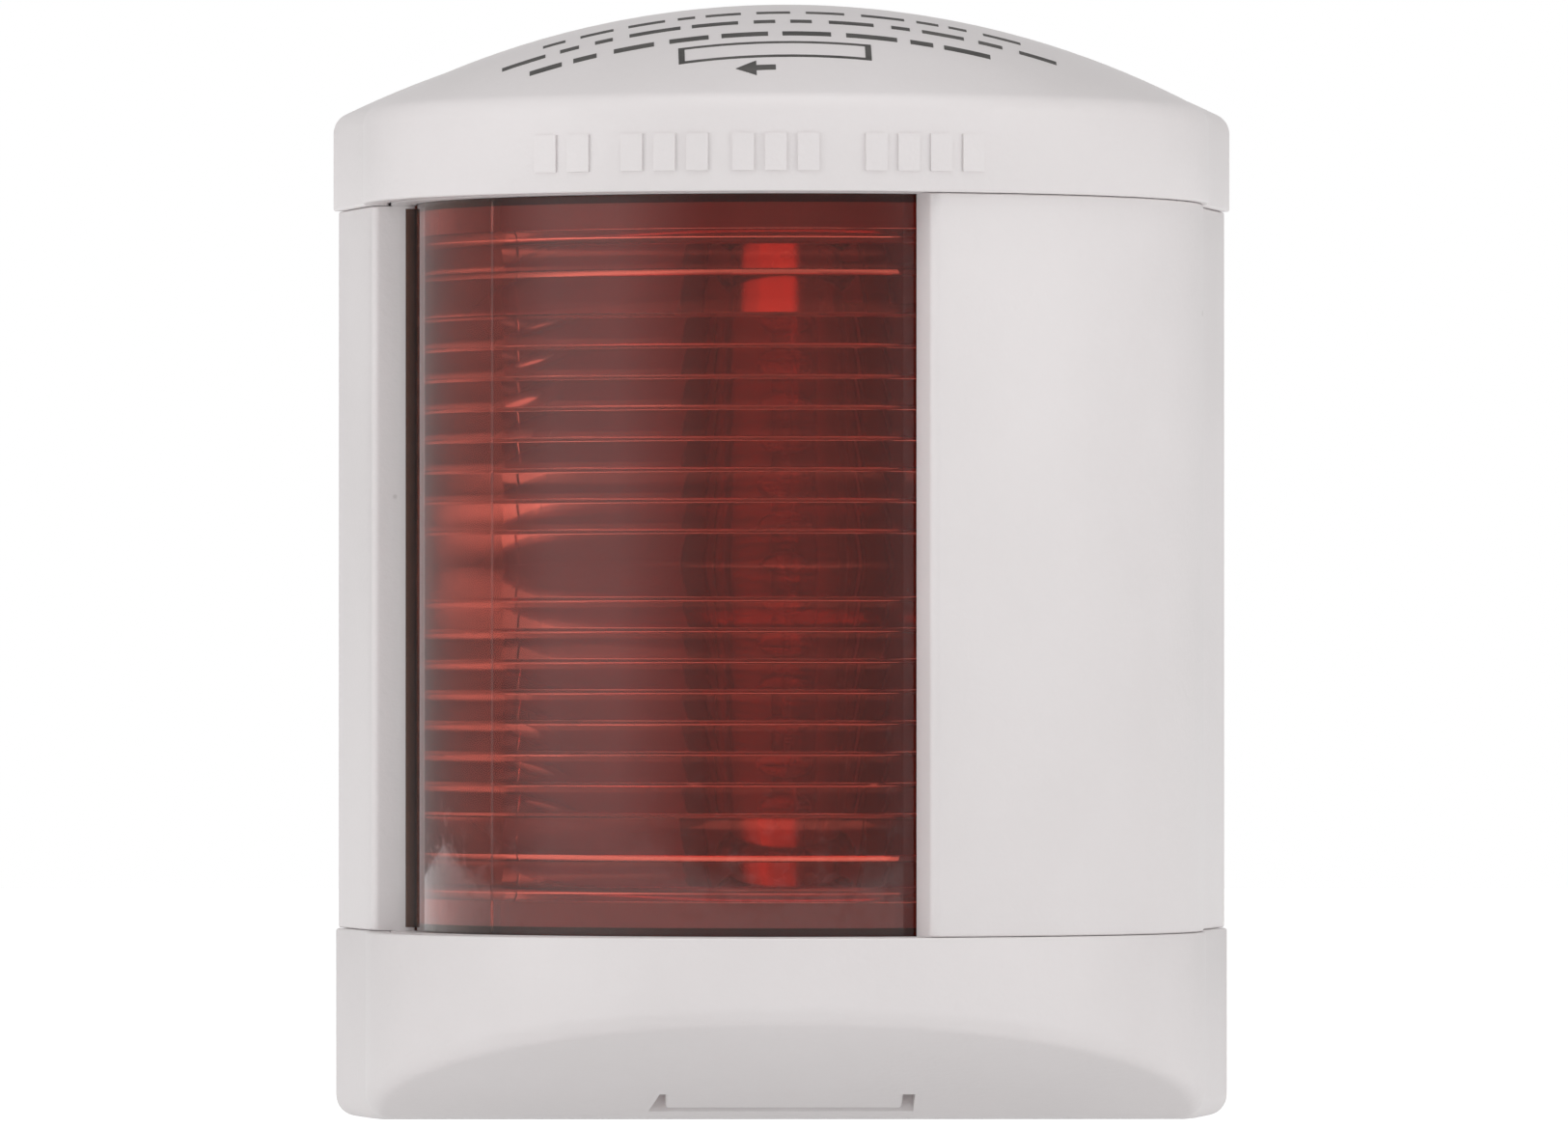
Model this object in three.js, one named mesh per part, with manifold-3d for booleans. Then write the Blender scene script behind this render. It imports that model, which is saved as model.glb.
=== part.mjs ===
// Port side navigation light for a 41 mm festoon lamp.
// Millimetres. The wall is the plane Y = 0 and the light looks towards -Y; +Z is up, +X is aft.
// The origin is the middle of the base plate's wall face. A cover (cap, screen, bottom, lens) hangs on
// the base plate by two hooks at its top and is held at the bottom by a tongue behind a keeper.
import * as THREE from 'three';
import { mergeVertices } from 'three/addons/utils/BufferGeometryUtils.js';
import Module from 'manifold-3d';

const wasm = await Module();
wasm.setup();

// ---- Driving dimensions -------------------------------------------------------------------------

// Casing plan: a round front about the lamp's axis, and sides that flare to the wall
const LAMP_AXIS_Y = -17;
const SHELL_RADIUS = 30.9;
const SIDE_FLARE = 2.4;           // how far each side stands out at the wall
const FLARE_SETBACK = 3;          // the flare starts this far behind the lamp's axis
const SHELL_WALL = 2.5;
const COVER_WALL = 1.8;
const WALL_GAP = 0.2;             // between the cover's back edge and the wall
const SEAM_GAP = 0.15;            // between the stacked pieces of the cover

// Casing heights
const WINDOW_HALF_HEIGHT = 26.9;
const CAP_PROUD = 0.4;            // the cap's step out from the screen
const BOTTOM_PROUD = 0.2;
const CAP_HEIGHT = 14.75;         // from the window's edge to the top of the dome
const CAP_BAND = 6.75;            // from the window's edge to the dome's round rim
const BOTTOM_DEPTH = 14.1;        // from the window's edge to the flat of the underside
const BAND_DEPTH = 6.1;           // from the window's edge to the underside's front crease
const UNDERSIDE_SLOPE = 0.24;
const CORNER_RADIUS = 2;
const COLLAR_WALL = 1.3;
const COLLAR_HEIGHT = 4;
const COLLAR_LAP = 2.5;
const SLIDE_GAP = 0.3;            // between a collar and the cap it enters

// Sector of light, in degrees from straight out of the wall, towards +X
const SECTOR_LEFT = -95.3;
const SECTOR_RIGHT = 19;
const JAMB_ANGLE = 3.4;

// Lens
const LENS_SETBACK = 3.6;         // from the screen's outer face to the lens's
const LENS_WALL = 1.6;
const LENS_LAP = 2.2;             // how far it enters the cap and the bottom
const LENS_LAP_ANGLE = 2.2;       // how far it runs behind each jamb
const LENS_GAP = 0.3;
const LENS_LIP = 0.85;            // upright lip along its forward edge
const LENS_LIP_ANGLE = 3.2;
const LENS_LIP_START = 0.6;       // degrees from the forward jamb
const RIB_DEPTH = 0.8;
const RIB_STEP = 0.3;             // height of a tooth's short side
const RIB_FIRST = 2.3;
const RIB_PITCH = 2.24;
const EDGE_RIBS = [5.9, 3.6, 2.5]; // the coarse teeth, from the window's edge
const LENS_SEAL_THICKNESS = 1.2;
const RETAINER_WALL = 2.4;

// Base plate
const BASE_THICKNESS = 4;
const BASE_GAP = 0.35;            // between the plate's edge and the cover
const SCREW_SPACING = 46.8;
const SCREW_HOLE = 4.4;
const BOSS_RADIUS = 4;
const BOSS_HEIGHT = 2;
const SEAL_INSET = 0.6;
const SEAL_WIDTH = 1.4;
const SEAL_THICKNESS = 1.2;
const FLANGE_THICKNESS = 0.9;
const LAY_GAP = 0.1;              // between flat pieces that lie on each other

// Hooks of the cover, and their pockets in the plate
const HOOK_INNER_X = 6;
const HOOK_OUTER_X = 12;
const HOOK_DEPTH = 4.45;          // below the top of the dome
const HOOK_THICKNESS = 0.9;
const POCKET_DEPTH = 2.7;

// Keeper and release tongue
const KEEPER_HALF_WIDTH = 8;
const KEEPER_HEIGHT = 5;          // its underside, above the flat of the light's underside
const KEEPER_THICKNESS = 1.0;
const KEEPER_REACH = 7;
const LATCH_THICKNESS = 1.2;
const LATCH_RECESS = 0.15;        // the tongue's face lies this deep in the slot
const SLOT_HALF_WIDTH = 9.4;
const SLOT_FRONT_Y = -24;
const SLOT_BACK_Y = -18;
const SLOT_LEFT_SLANT = 0.8;      // how far the slot's left end leans out towards the wall
const LATCH_LEFT_GAP = 0.45;
const LATCH_RIGHT_GAP = 0.85;
const LATCH_ROOT = 7;             // tongue's root, in front of the slot
const LATCH_FRONT_GAP = 0.5;
const LATCH_BACK_GAP = 0.7;
const LATCH_RISE_RUN = 1;         // depth over which the tongue rises to its nose
const LATCH_NOSE_GAP = 1.1;       // nose, in front of the keeper's lip

// Cable inlet
const GROMMET_X = 19;
const GROMMET_BORE = 6.4;
const GROMMET_NECK = 9;
const GROMMET_FLANGE = 12.4;
const GROMMET_FLANGE_THICKNESS = 1.2;

// Lamp, carrier and contacts
const LAMP_LENGTH = 41;
const GLASS_RADIUS = 5.5;
const GLASS_WALL = 0.7;
const LAMP_CAP_LENGTH = 6.8;
const LAMP_CAP_RADIUS = 4.25;
const DECK_HEIGHT = 4;            // carrier web and terminal block, above the plate
const CHEEK_GAP = 0.7;            // between the lamp's glass and the carrier's cheeks
const CARRIER_END = 1.2;          // carrier beyond each end of the lamp
const CHEEK_WALL = 1.8;
const CHEEK_HEIGHT = 5.5;
const CONTACT_THICKNESS = 0.5;
const CONTACT_WIDTH = 7;
const CONTACT_HOLE = 3;
const CONTACT_REACH = 4.5;        // past the lamp's axis
const BUS_WIDTH = 3.4;
const TERMINAL_GAP = 0.6;         // between the terminal block and its neighbours
const TERMINAL_INSET = 6;         // terminal screws, from the ends of the lamp
const TERMINAL_MARGIN = 4;        // terminal block beyond its screws
const RIVET_INSET = 2.9;          // contact rivets, from the ends of the lamp
const CARRIER_SCREW_Z = 5;
const FASTENER_GAP = 0.15;
const BUS_MARGIN = 0.8;           // bus strip beyond its terminal screw
const CLAMP_HALF_WIDTH = 3;
const CLAMP_THICKNESS = 1;
const CONTACT_LEAD = 1.2;         // bent-out lead-in at the tip of a lamp contact
const CONTACT_SPLAY = 0.9;

// Fasteners
const SCREW_CORE = 1.4;
const PILOT_DEPTH = 3;
const HEAD_RADIUS = 2.6;
const HEAD_CHAMFER = 0.7;
const HEAD_SLOT_DEPTH = 0.7;
const HEAD_SLOT_HALF_WIDTH = 0.35;
const TERMINAL_HEAD = 1.8;
const TERMINAL_SHANK = 4.6;
const CARRIER_HEAD = 1.6;
const CARRIER_SHANK = 6.4;
const RIVET_RADIUS = 0.9;
const RIVET_HEAD_RADIUS = 1.6;
const RIVET_HEAD = 0.7;
const RIVET_CHAMFER = 0.2;

// Lamp details
const GLASS_SHOULDER = 1.6;
const GLASS_NECK_STEP = 0.4;      // neck's step in from the lamp cap
const CAP_SHOULDER = 2.6;         // lamp cap's shoulder, from its point
const CAP_SHOULDER_STEP = 0.6;
const CAP_POINT_RADIUS = 1.3;
const CAP_TIP_RADIUS = 0.9;
const FILAMENT_RADIUS = 0.3;
const FILAMENT_BOW = 0.9;

// ---- Sizes that follow --------------------------------------------------------------------------

const FLARE_Y = LAMP_AXIS_Y + FLARE_SETBACK;
const SHELL_HALF_WIDTH = SHELL_RADIUS + SIDE_FLARE;
const LENS_RADIUS = SHELL_RADIUS - LENS_SETBACK;
const CAP_INSIDE = CAP_PROUD - COVER_WALL;
const BOTTOM_INSIDE = BOTTOM_PROUD - COVER_WALL;
const COLLAR_OUTSIDE = Math.min(CAP_INSIDE, BOTTOM_INSIDE) - SLIDE_GAP;
const DOME_TOP = WINDOW_HALF_HEIGHT + CAP_HEIGHT;
const DOME_RISE = CAP_HEIGHT - CAP_BAND;
const DOME_RADIUS = ((SHELL_RADIUS + CAP_PROUD) ** 2 + DOME_RISE ** 2) / (2 * DOME_RISE);
const DOME_CENTRE = DOME_TOP - DOME_RADIUS;
const HOOK_BOTTOM = DOME_TOP - HOOK_DEPTH;
const DOME_INSIDE_RADIUS = DOME_RADIUS - COVER_WALL;
const VAULT_REACH = SHELL_HALF_WIDTH + BOTTOM_DEPTH / 2; // past every outline that it roofs
const UNDERSIDE = -WINDOW_HALF_HEIGHT - BOTTOM_DEPTH;
const KEEPER_UNDERSIDE = UNDERSIDE + KEEPER_HEIGHT;
const CREASE_Z = -WINDOW_HALF_HEIGHT - BAND_DEPTH;
const CREASE_Y = LAMP_AXIS_Y - SHELL_RADIUS - BOTTOM_PROUD;
const BASE_FRONT_Y = -BASE_THICKNESS;
const SEAL_FRONT_Y = BASE_FRONT_Y - LAY_GAP - SEAL_THICKNESS;
const FLANGE_FRONT_Y = SEAL_FRONT_Y - SLIDE_GAP - FLANGE_THICKNESS;
const COLLAR_BACK_Y = FLANGE_FRONT_Y - SLIDE_GAP;
const DECK_Y = BASE_FRONT_Y - DECK_HEIGHT;
const BUS_FRONT_Y = DECK_Y - LAY_GAP - CONTACT_THICKNESS;
const CONTACT_Z = LAMP_LENGTH / 2 + SLIDE_GAP;
const GLASS_HALF_LENGTH = LAMP_LENGTH / 2 - LAMP_CAP_LENGTH;
const CARRIER_HALF_WIDTH = GLASS_RADIUS + CHEEK_GAP + CHEEK_WALL;
const CARRIER_HALF_HEIGHT = LAMP_LENGTH / 2 + CARRIER_END;
const TERMINAL_LEFT = CARRIER_HALF_WIDTH + TERMINAL_GAP;
const TERMINAL_RIGHT = SCREW_SPACING / 2 - BOSS_RADIUS - TERMINAL_GAP;
const TERMINAL_X = (TERMINAL_LEFT + TERMINAL_RIGHT) / 2;
const TERMINAL_Z = LAMP_LENGTH / 2 - TERMINAL_INSET;
const TERMINAL_HALF_HEIGHT = TERMINAL_Z + TERMINAL_MARGIN;
const RIVET_Z = LAMP_LENGTH / 2 - RIVET_INSET;
const GROMMET_Z = -TERMINAL_HALF_HEIGHT - GROMMET_FLANGE / 2 - SLIDE_GAP;
const LENS_TOP = WINDOW_HALF_HEIGHT + LENS_LAP;
const FAR = 60;                   // beyond every piece

// ---- Solids -------------------------------------------------------------------------------------

function solid(geometry) {
  geometry.deleteAttribute('normal');
  geometry.deleteAttribute('uv');
  const merged = mergeVertices(geometry, 1e-4);
  return new wasm.Manifold(new wasm.Mesh({
    numProp: 3,
    vertProperties: new Float32Array(merged.attributes.position.array),
    triVerts: new Uint32Array(merged.index.array),
  }));
}

function geometryOf(body) {
  const mesh = body.getMesh();
  const geometry = new THREE.BufferGeometry();
  geometry.setAttribute('position', new THREE.BufferAttribute(mesh.vertProperties, 3));
  geometry.setIndex(new THREE.BufferAttribute(mesh.triVerts, 1));
  geometry.computeVertexNormals();
  return geometry;
}

const union = (...bodies) => bodies.reduce((sum, body) => sum.add(body));

function block(x0, x1, y0, y1, z0, z1) {
  const geometry = new THREE.BoxGeometry(x1 - x0, y1 - y0, z1 - z0);
  geometry.translate((x0 + x1) / 2, (y0 + y1) / 2, (z0 + z1) / 2);
  return solid(geometry);
}

// A shape drawn in X and Y, standing from z0 to z1
function prismZ(shape, z0, z1, curveSegments = 20) {
  const geometry = new THREE.ExtrudeGeometry(shape, { depth: z1 - z0, bevelEnabled: false, curveSegments });
  return solid(geometry.translate(0, 0, z0));
}

// A shape drawn in X and Z, running from y0 down to y1
function prismY(shape, y0, y1, curveSegments = 12) {
  const geometry = new THREE.ExtrudeGeometry(shape, { depth: y0 - y1, bevelEnabled: false, curveSegments });
  return solid(geometry.rotateX(Math.PI / 2).translate(0, y0, 0));
}

// A shape drawn in Y and Z, running from x0 to x1
function prismX(shape, x0, x1) {
  const geometry = new THREE.ExtrudeGeometry(shape, { depth: x1 - x0, bevelEnabled: false });
  const turn = new THREE.Matrix4().makeBasis(
    new THREE.Vector3(0, 1, 0), new THREE.Vector3(0, 0, 1), new THREE.Vector3(1, 0, 0));
  return solid(geometry.applyMatrix4(turn).translate(x0, 0, 0));
}

// A profile of [radius, height] points turned about an upright axis
function turnedZ(profile, segments, x = 0, y = LAMP_AXIS_Y) {
  const geometry = new THREE.LatheGeometry(profile.map(([r, z]) => new THREE.Vector2(r, z)), segments);
  return solid(geometry.rotateX(Math.PI / 2).translate(x, y, 0));
}

// A profile of [radius, distance out of the wall] points turned about an axis square to the wall
function turnedY(profile, segments, x, z) {
  const geometry = new THREE.LatheGeometry(profile.map(([r, out]) => new THREE.Vector2(r, out)), segments);
  return solid(geometry.rotateX(Math.PI).translate(x, 0, z));
}

const polygon = (points) => new THREE.Shape(points.map(([u, v]) => new THREE.Vector2(u, v)));

// ---- Outlines of the casing ---------------------------------------------------------------------

// Half the width of the flared side at depth y, for an outline offset outwards
function sideX(offset, y) {
  const radius = SHELL_RADIUS + offset;
  const startX = Math.sqrt(radius ** 2 - FLARE_SETBACK ** 2);
  const wallX = SHELL_HALF_WIDTH + offset;
  return startX + (wallX - startX) * (y - FLARE_Y) / -FLARE_Y;
}

// Plan of the casing, offset outwards, ending at depth backY
function plan(offset, backY) {
  const radius = SHELL_RADIUS + offset;
  const lift = Math.asin(FLARE_SETBACK / radius);
  const shape = new THREE.Shape();
  shape.absarc(0, LAMP_AXIS_Y, radius, lift, Math.PI - lift, true);
  shape.lineTo(-sideX(offset, backY), backY);
  shape.lineTo(sideX(offset, backY), backY);
  shape.closePath();
  return shape;
}

const radians = (angle) => THREE.MathUtils.degToRad(angle - 90);

// Part of a ring about the lamp's axis between two directions
function ringSector(innerRadius, outerRadius, from, to) {
  const shape = new THREE.Shape();
  shape.absarc(0, LAMP_AXIS_Y, outerRadius, radians(from), radians(to), false);
  shape.absarc(0, LAMP_AXIS_Y, innerRadius, radians(to), radians(from), true);
  shape.closePath();
  return shape;
}

// The wedge of light between two directions
function wedge(from, to) {
  const shape = new THREE.Shape();
  shape.absarc(0, LAMP_AXIS_Y, FAR, radians(from), radians(to), false);
  shape.lineTo(0, LAMP_AXIS_Y);
  shape.closePath();
  return shape;
}

const windowWedge = () => prismZ(
  wedge(SECTOR_LEFT, SECTOR_RIGHT), -WINDOW_HALF_HEIGHT + SEAM_GAP, WINDOW_HALF_HEIGHT - SEAM_GAP);

// Everything under the dome: turned in front of the lamp's axis, straight behind it
function vault(radius, bottom) {
  const steps = 8;
  const rim = Math.asin(VAULT_REACH / radius);
  const profile = [[0, bottom], [VAULT_REACH, bottom]];
  for (let step = 0; step <= steps; step += 1) {
    const angle = rim * (1 - step / steps);
    profile.push([radius * Math.sin(angle), DOME_CENTRE + radius * Math.cos(angle)]);
  }
  const arch = new THREE.Shape();
  arch.moveTo(-VAULT_REACH, bottom);
  arch.lineTo(VAULT_REACH, bottom);
  arch.absarc(0, DOME_CENTRE, radius, Math.PI / 2 - rim, Math.PI / 2 + rim, false);
  arch.closePath();
  return union(turnedZ(profile, 48), prismY(arch, 1, LAMP_AXIS_Y, steps));
}

// Side view of the space above the underside, raised by a wall
function aboveUnderside(rise) {
  const flat = UNDERSIDE + rise;
  const crease = CREASE_Z + rise * Math.hypot(1, UNDERSIDE_SLOPE);
  const frontZ = crease - UNDERSIDE_SLOPE * (-FAR - CREASE_Y);
  const flatY = CREASE_Y + (crease - flat) / UNDERSIDE_SLOPE;
  return prismX(polygon([[1, FAR], [-FAR, FAR], [-FAR, frontZ], [flatY, flat], [1, flat]]), -FAR, FAR);
}

// Height of the underside's outer face at depth y, in front of its flat
const undersideAt = (y) => Math.max(UNDERSIDE, CREASE_Z - UNDERSIDE_SLOPE * (y - CREASE_Y));

// Front view of the base plate's edge, moved in by inset
function plateOutline(inset) {
  const halfWidth = sideX(-SHELL_WALL, BASE_FRONT_Y) - BASE_GAP - inset;
  const bottom = UNDERSIDE + COVER_WALL + BASE_GAP + inset;
  const radius = DOME_INSIDE_RADIUS - BASE_GAP - inset;
  const corner = Math.max(CORNER_RADIUS - inset, BASE_GAP);
  const rim = Math.asin(halfWidth / radius);
  const shape = new THREE.Shape();
  shape.absarc(halfWidth - corner, bottom + corner, corner, -Math.PI / 2, 0, false);
  shape.absarc(0, DOME_CENTRE, radius, Math.PI / 2 - rim, Math.PI / 2 + rim, false);
  shape.absarc(-halfWidth + corner, bottom + corner, corner, Math.PI, Math.PI * 1.5, false);
  shape.closePath();
  return shape;
}

// Inner flange of the cover that presses on the seal, between two heights
function flange(z0, z1) {
  const rim = plateOutline(-BASE_GAP - COVER_WALL / 2);
  const ring = prismY(rim, FLANGE_FRONT_Y + FLANGE_THICKNESS, FLANGE_FRONT_Y)
    .subtract(prismY(plateOutline(SEAL_INSET + SEAL_WIDTH), 0, -FAR));
  return ring.intersect(block(-FAR, FAR, -FAR, FAR, z0, z1));
}

// ---- Cover --------------------------------------------------------------------------------------

const lensSector = () => ringSector(
  LENS_RADIUS - RETAINER_WALL, LENS_RADIUS, SECTOR_LEFT - LENS_LAP_ANGLE, SECTOR_RIGHT + LENS_LAP_ANGLE);
const retainerStart = LENS_TOP + LENS_SEAL_THICKNESS + 2 * LAY_GAP + SEAM_GAP;

function topCap() {
  const outer = prismZ(plan(CAP_PROUD, -WALL_GAP), WINDOW_HALF_HEIGHT, FAR).intersect(vault(DOME_RADIUS, 0));
  const room = prismZ(plan(CAP_INSIDE, 1), 0, FAR).intersect(vault(DOME_INSIDE_RADIUS, 0));
  const hook = (side) => {
    const [x0, x1] = side > 0 ? [HOOK_INNER_X, HOOK_OUTER_X] : [-HOOK_OUTER_X, -HOOK_INNER_X];
    const backY = -WALL_GAP;
    return block(x0, x1, backY - HOOK_THICKNESS, backY, HOOK_BOTTOM, DOME_TOP);
  };
  const fittings = union(
    hook(1), hook(-1),
    flange(WINDOW_HALF_HEIGHT + COLLAR_HEIGHT + SLIDE_GAP, FAR),
    prismZ(lensSector(), retainerStart, FAR, 12));
  return outer.subtract(room).add(fittings.intersect(outer));
}

function bottomCap() {
  const corners = new THREE.Shape();
  const halfWidth = SHELL_HALF_WIDTH + BOTTOM_PROUD;
  const cornerX = halfWidth - CORNER_RADIUS;
  const cornerZ = UNDERSIDE + CORNER_RADIUS;
  corners.absarc(-cornerX, cornerZ, CORNER_RADIUS, Math.PI, Math.PI * 1.5, false);
  corners.absarc(cornerX, cornerZ, CORNER_RADIUS, -Math.PI / 2, 0, false);
  corners.lineTo(halfWidth, 0);
  corners.lineTo(-halfWidth, 0);
  corners.closePath();
  const outer = prismZ(plan(BOTTOM_PROUD, -WALL_GAP), -FAR, -WINDOW_HALF_HEIGHT)
    .intersect(aboveUnderside(0))
    .intersect(prismY(corners, 1, -FAR, 6));
  const room = prismZ(plan(BOTTOM_INSIDE, 1), -FAR, 0).intersect(aboveUnderside(COVER_WALL));
  const fittings = union(
    flange(-FAR, -WINDOW_HALF_HEIGHT - COLLAR_HEIGHT - SLIDE_GAP),
    prismZ(lensSector(), -FAR, -retainerStart, 12));
  const slot = prismZ(polygon([
    [-SLOT_HALF_WIDTH, SLOT_FRONT_Y], [SLOT_HALF_WIDTH, SLOT_FRONT_Y],
    [SLOT_HALF_WIDTH, SLOT_BACK_Y], [-SLOT_HALF_WIDTH - SLOT_LEFT_SLANT, SLOT_BACK_Y],
  ]), -FAR, 0);
  return outer.subtract(room).add(fittings.intersect(outer)).subtract(slot);
}

function screenShell() {
  const height = WINDOW_HALF_HEIGHT - SEAM_GAP;
  const wall = prismZ(plan(0, -WALL_GAP), -height, height).subtract(prismZ(plan(-SHELL_WALL, 1), -FAR, FAR));
  const jambWall = (from, to) => prismZ(
    ringSector(LENS_RADIUS + LENS_GAP, SHELL_RADIUS - SHELL_WALL / 2, from, to), -height, height, 1);
  const collarInner = prismZ(plan(COLLAR_OUTSIDE - COLLAR_WALL, 1), -FAR, FAR);
  const behind = block(-FAR, FAR, COLLAR_BACK_Y, FAR, -FAR, FAR);
  const collar = (z0, z1) => prismZ(plan(COLLAR_OUTSIDE, 0), z0, z1).subtract(collarInner).subtract(behind);
  const inside = WINDOW_HALF_HEIGHT - COLLAR_LAP;
  const outside = WINDOW_HALF_HEIGHT + COLLAR_HEIGHT;
  return union(
    wall,
    jambWall(SECTOR_LEFT - JAMB_ANGLE, SECTOR_LEFT + 1),
    jambWall(SECTOR_RIGHT - 1, SECTOR_RIGHT + JAMB_ANGLE),
    collar(inside, outside),
    collar(-outside, -inside),
    flange(-height, height)).subtract(windowWedge());
}

// The lens: a smooth cylinder outside, saw-tooth ribs inside
function ribProfile() {
  const root = LENS_RADIUS - LENS_WALL;
  const half = [[root - RIB_DEPTH, 0]];
  const edges = [];
  const coarse = EDGE_RIBS.map((inset) => WINDOW_HALF_HEIGHT - inset);
  for (let edge = RIB_FIRST; edge < coarse[0] - RIB_PITCH; edge += RIB_PITCH) {
    edges.push(edge);
  }
  edges.push(...coarse);
  edges.forEach((edge, index) => {
    half.push([root, edge]);
    if (index < edges.length - 1) {
      half.push([root - RIB_DEPTH, edge + RIB_STEP]);
    }
  });
  const upper = [...half, [root, LENS_TOP]];
  const lower = upper.slice(1).map(([r, z]) => [r, -z]).reverse();
  return [...lower, ...upper];
}

function lens() {
  const inside = ribProfile().reverse();
  const outline = [[LENS_RADIUS, -LENS_TOP], [LENS_RADIUS, LENS_TOP], ...inside, [LENS_RADIUS, -LENS_TOP]];
  const sector = prismZ(
    wedge(SECTOR_LEFT - LENS_LAP_ANGLE, SECTOR_RIGHT + LENS_LAP_ANGLE), -LENS_TOP - 1, LENS_TOP + 1);
  const lipHeight = WINDOW_HALF_HEIGHT - LENS_GAP;
  const lipStart = SECTOR_LEFT + LENS_LIP_START;
  const lip = prismZ(
    ringSector(LENS_RADIUS - LENS_WALL / 2, LENS_RADIUS + LENS_LIP, lipStart, lipStart + LENS_LIP_ANGLE),
    -lipHeight, lipHeight, 1);
  return turnedZ(outline, 48).intersect(sector).add(lip);
}

function lensSeal(side) {
  const start = LENS_TOP + LAY_GAP;
  const end = start + LENS_SEAL_THICKNESS;
  return side > 0 ? prismZ(lensSector(), start, end, 12) : prismZ(lensSector(), -end, -start, 12);
}

function releaseLatch() {
  const innerAt = (y) => undersideAt(y) + COVER_WALL * Math.hypot(1, UNDERSIDE_SLOPE) + SLIDE_GAP;
  const faceAt = (y) => undersideAt(y) + LATCH_RECESS;
  const rootY = SLOT_FRONT_Y - LATCH_ROOT;
  const dipFront = SLOT_FRONT_Y + LATCH_FRONT_GAP;
  const dipBack = SLOT_BACK_Y - LATCH_BACK_GAP;
  const lipTop = KEEPER_UNDERSIDE + 2 * KEEPER_THICKNESS;
  const tipY = BASE_FRONT_Y - KEEPER_REACH + KEEPER_THICKNESS + LATCH_NOSE_GAP;
  const tipZ = lipTop + SLIDE_GAP;
  const under = [
    [rootY, innerAt(rootY)], [dipFront, innerAt(dipFront)], [dipFront, faceAt(dipFront)],
    [dipBack, faceAt(dipBack)], [dipBack + LATCH_RISE_RUN, tipZ], [tipY, tipZ],
  ];
  const over = [
    [tipY, tipZ + LATCH_THICKNESS],
    [dipBack + LATCH_RISE_RUN - LATCH_THICKNESS, tipZ + LATCH_THICKNESS],
    [dipBack - LATCH_THICKNESS, faceAt(dipBack) + LATCH_THICKNESS],
    [dipFront + LATCH_THICKNESS, faceAt(dipFront) + LATCH_THICKNESS],
    [dipFront + LATCH_THICKNESS, innerAt(dipFront) + LATCH_THICKNESS],
    [rootY, innerAt(rootY) + LATCH_THICKNESS],
  ];
  return prismX(
    polygon([...under, ...over]), -SLOT_HALF_WIDTH + LATCH_LEFT_GAP, SLOT_HALF_WIDTH - LATCH_RIGHT_GAP);
}

// ---- Base ---------------------------------------------------------------------------------------

const hole = (diameter, x, z) => turnedY(
  [[0, -FAR], [diameter / 2, -FAR], [diameter / 2, FAR], [0, FAR]], 24, x, z);

function basePlate() {
  const plate = prismY(plateOutline(0), 0, BASE_FRONT_Y);
  const screwX = SCREW_SPACING / 2;
  const bossTop = BASE_THICKNESS + BOSS_HEIGHT;
  const boss = (x) => turnedY([[0, 1], [BOSS_RADIUS, 1], [BOSS_RADIUS, bossTop], [0, bossTop]], 24, x, 0);
  const keeperTop = KEEPER_UNDERSIDE + KEEPER_THICKNESS;
  const lipBack = BASE_FRONT_Y - KEEPER_REACH + KEEPER_THICKNESS;
  const keeper = prismX(polygon([
    [-1, KEEPER_UNDERSIDE], [-1, keeperTop], [lipBack, keeperTop], [lipBack, keeperTop + KEEPER_THICKNESS],
    [lipBack - KEEPER_THICKNESS, keeperTop + KEEPER_THICKNESS],
    [lipBack - KEEPER_THICKNESS, KEEPER_UNDERSIDE],
  ]), -KEEPER_HALF_WIDTH, KEEPER_HALF_WIDTH);
  const pocket = (side) => {
    const x0 = HOOK_INNER_X - SLIDE_GAP;
    const x1 = HOOK_OUTER_X + SLIDE_GAP;
    return side > 0
      ? block(x0, x1, -POCKET_DEPTH, 1, HOOK_BOTTOM - SLIDE_GAP, FAR)
      : block(-x1, -x0, -POCKET_DEPTH, 1, HOOK_BOTTOM - SLIDE_GAP, FAR);
  };
  const flangeRoom = GROMMET_FLANGE / 2 + FASTENER_GAP;
  const rebate = GROMMET_FLANGE_THICKNESS + 2 * FASTENER_GAP;
  const grommetRebate = turnedY(
    [[0, -1], [flangeRoom, -1], [flangeRoom, rebate], [0, rebate]], 24, GROMMET_X, GROMMET_Z);
  let body = union(plate, boss(screwX), boss(-screwX), keeper);
  const cuts = [
    hole(SCREW_HOLE, screwX, 0), hole(SCREW_HOLE, -screwX, 0), pocket(1), pocket(-1),
    hole(GROMMET_NECK + 2 * FASTENER_GAP, GROMMET_X, GROMMET_Z), grommetRebate,
    screwPilot(0, CARRIER_SCREW_Z), screwPilot(0, -CARRIER_SCREW_Z),
  ];
  cuts.forEach((cut) => {
    body = body.subtract(cut);
  });
  return body;
}

function coverSeal() {
  const back = BASE_FRONT_Y - LAY_GAP;
  return prismY(plateOutline(SEAL_INSET), back, SEAL_FRONT_Y)
    .subtract(prismY(plateOutline(SEAL_INSET + SEAL_WIDTH), 0, -FAR));
}

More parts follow.
